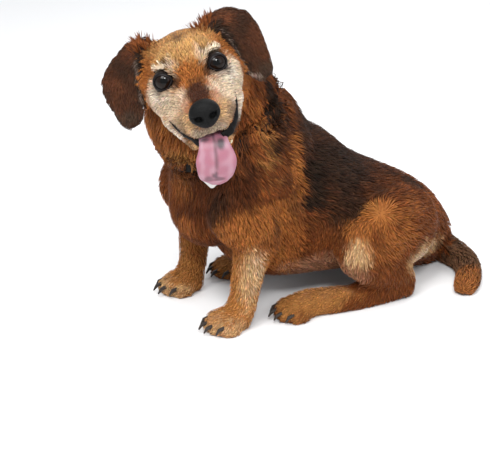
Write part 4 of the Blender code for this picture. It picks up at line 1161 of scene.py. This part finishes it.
tongue = {
    "stations": [  # middle, half-width, half-thickness
        (0.0000, -0.0160, -0.0485, 0.0125, 0.0034),
        (0.0000, -0.0420, -0.0525, 0.0135, 0.0036),
        (-0.0010, -0.0590, -0.0600, 0.0142, 0.0036),
        (-0.0045, -0.0630, -0.0755, 0.0192, 0.0034),
        (-0.0095, -0.0605, -0.0895, 0.0165, 0.0032),
        (-0.0112, -0.0590, -0.0950, 0.0120, 0.0028),
        (-0.0125, -0.0585, -0.0985, 0.0050, 0.0018),
    ],
    "rows": 70,
    "pink": (0.270, 0.098, 0.135),
    "pale": (0.330, 0.185, 0.225),
    "grey": (0.020, 0.018, 0.022),
    "spots": [  # how far across (m) and along (0 to 1), their half-sizes, strength
        (0.0060, 0.355, 0.0040, 0.055, 0.90), (-0.0090, 0.300, 0.0050, 0.020, 0.70),
        (-0.0010, 0.645, 0.0026, 0.045, 0.70), (-0.0065, 0.715, 0.0045, 0.060, 0.55),
        (0.0038, 0.725, 0.0050, 0.060, 0.55),
    ],
}


# An oval carried along the stations, with a crease exp(-(s / 0.06)^2) along its upper middle that fades
# towards the tip, and a low swelling on each side of it. The tone goes from pink to pale by a drift and a
# wave across it, then darker down the crease as painted shade, and to grey in each spot.
def makeTongue():
    path = throughStations(tongue["stations"], tongue["rows"])
    middle, halfWide, halfThick = path[:, :3], path[:, 3], path[:, 4]
    along = np.linspace(0, 1, tongue["rows"])
    onward = unit(np.gradient(middle, axis=0))
    sideWay = np.array((1, 0, -0.25))
    across = unit(sideWay - (onward @ sideWay)[:, None] * onward)
    upper = np.cross(across, onward)
    turns = np.linspace(0, 2 * math.pi, 48, endpoint=False)
    sideways, over = np.sign(np.cos(turns)) * np.abs(np.cos(turns)) ** 0.9, np.sin(turns)
    crease = -0.65 * np.exp(-(sideways / 0.06) ** 2) * (over > 0)
    crease = crease + 0.16 * np.exp(-((np.abs(sideways) - 0.45) / 0.3) ** 2)
    crease = crease[None] * (1 - ramp(along, 0.45, 0.68))[:, None]
    grid = (middle[:, None] + across[:, None] * (halfWide[:, None] * sideways)[..., None]
            + upper[:, None] * (halfThick[:, None] * (over + crease))[..., None])
    mesh = closedTube("tongue_flesh", toModel(grid))
    s = np.append((halfWide[:, None] * sideways).ravel(), (0, 0))
    t = np.append(np.repeat(along, len(turns)), (0, 1))
    wander = drift(np.column_stack([s, t * 0.08, 0 * s]), 0.012, 5)
    paleShare = ramp(wander + 0.5 * np.cos(s * 500), -0.4, 0.9)[:, None] * 0.8
    tone = np.array(tongue["pink"]) * (1 - paleShare) + np.array(tongue["pale"]) * paleShare
    # painted shade in the crease down the tongue's upper middle, gone before the tip
    creaseShade = np.exp(-(s / 0.0006) ** 2) * (1 - ramp(t, 0.54, 0.62))
    tone = tone * (1 - 0.55 * creaseShade)[:, None]
    for spotS, spotT, wide, tall, strength in tongue["spots"]:
        spot = 1 - ramp(np.hypot((s - spotS) / wide, (t - spotT) / tall) + 0.25 * wander, 0.6, 1.3)
        tone = tone + (np.array(tongue["grey"]) - tone) * (strength * spot)[:, None]
    paintMesh(mesh, tone)
    addPiece("tongue_flesh", mesh, tongueFinish, ["tongue"])


makeTongue()
print("tongue made")

lipAndShadeTube = {"rise": 0.0009, "thick": 0.0006, "thicker": 0.25}  # over the skin, at the ends, and per half-width


# The black lip, widening into painted shade of the mouth's gap, is an oval carried along its path, which is
# first laid on the skin. It is flat along the skin's normal there, which is the mean over nine steps.
def makeLipAndShade(side, path):
    places = toModel(path[:, :3])
    near = nearest(skinGrid, places)
    padded = np.pad(skinNormal[near], ((4, 4), (0, 0)), mode="edge")
    normal = unit(np.stack([np.convolve(column, np.ones(9) / 9, "valid") for column in padded.T], -1))
    height = ((places - skinAt[near]) * normal).sum(axis=1)
    places = places + normal * (lipAndShadeTube["rise"] - np.clip(height, -0.004, 0.004))[:, None]
    beside = unit(np.cross(unit(np.gradient(places, axis=0)), normal))
    turns = np.linspace(0, 2 * math.pi, 14, endpoint=False)
    wide, thick = path[:, 3:], lipAndShadeTube["thick"] + lipAndShadeTube["thicker"] * path[:, 3:]
    grid = (places[:, None] + beside[:, None] * (wide * np.cos(turns))[..., None]
            + normal[:, None] * (thick * np.sin(turns))[..., None])
    addPiece("lipsAndMouthShade_" + side, closedTube("lipsAndMouthShade_" + side, grid), lipAndShadeFinish)


for side, path in lipAndShadePaths.items():
    makeLipAndShade(side, path)
print("lips made")

# the CAD nodes that stay as they are
keptFinishes = {
    "canine": toothFinish, "claw": clawFinish, "collar": strapFinish, "tag": steelFinish, "ring": steelFinish,
}
for name, node in nodes.items():
    for start, material in keptFinishes.items():
        if name.startswith(start):
            node.data.materials.clear()
            node.data.materials.append(material)

studio = {
    "floorHalf": 6, "floorTone": (0.80, 0.80, 0.80, 1), "floorRoughness": 0.9,
    "skyTone": (0.95, 0.97, 1.0, 1), "skyStrength": 0.75,
    "middle": (0, 0, 0.12),
    "lights": {  # azimuth, elevation, distance, size, power
        "key": (30, 50, 1.8, 0.8, 25),
        "fill": (115, 30, 2.2, 1.6, 12),
        "rim": (215, 50, 2.0, 1.0, 14),
        "catch": (62, 42, 1.7, 0.30, 14),
    },
}
view = {"azimuth": 59, "elevation": 22, "distance": 1.6, "lens": 106.9, "target": (-0.0284, -0.0583, 0.0756)}


# the place at that distance from the target, with azimuth turned from the front towards the dog's left
def around(azimuth, elevation, distance, target):
    a, e = math.radians(azimuth), math.radians(elevation)
    way = np.array((math.sin(a) * math.cos(e), -math.cos(a) * math.cos(e), math.sin(e)))
    return np.array(target) + way * distance


# the item at its place, with its own -z towards the target and its x level
def aim(item, place, target):
    back = unit(np.array(place) - np.array(target))
    right = unit(np.cross((0, 0, 1), back))
    turn = np.eye(4)
    turn[:3, :3] = np.stack([right, np.cross(back, right), back], axis=1)
    turn[:3, 3] = place
    item.matrix_world = Matrix(turn)


h = studio["floorHalf"]
floorMesh = bpy.data.meshes.new("floor")
floorMesh.from_pydata([(-h, -h, 0), (h, -h, 0), (h, h, 0), (-h, h, 0)], [], [(0, 1, 2, 3)])
floor = bpy.data.objects.new("floor", floorMesh)
scene.collection.objects.link(floor)
floorFinish = bpy.data.materials.new("paleFloor")
floorFinish.use_nodes = True
floorShader = floorFinish.node_tree.nodes["Principled BSDF"]
floorShader.inputs["Base Color"].default_value = studio["floorTone"]
floorShader.inputs["Roughness"].default_value = studio["floorRoughness"]
floorMesh.materials.append(floorFinish)

world = bpy.data.worlds.new("studio")
world.use_nodes = True
sky = world.node_tree.nodes["Background"]
sky.inputs["Color"].default_value = studio["skyTone"]
sky.inputs["Strength"].default_value = studio["skyStrength"]
scene.world = world

for name, (azimuth, elevation, distance, size, power) in studio["lights"].items():
    light = bpy.data.lights.new(name, "AREA")
    light.size = size
    light.energy = power
    lamp = bpy.data.objects.new(name, light)
    scene.collection.objects.link(lamp)
    aim(lamp, around(azimuth, elevation, distance, studio["middle"]), studio["middle"])

camera = bpy.data.objects.new("camera", bpy.data.cameras.new("camera"))
scene.collection.objects.link(camera)
camera.data.lens = view["lens"]
camera.data.sensor_width = 36
viewTarget = np.array(view["target"]) + placeShift
aim(camera, around(view["azimuth"], view["elevation"], view["distance"], viewTarget), viewTarget)
scene.camera = camera
scene.view_settings.view_transform = "Standard"
print("stage set")
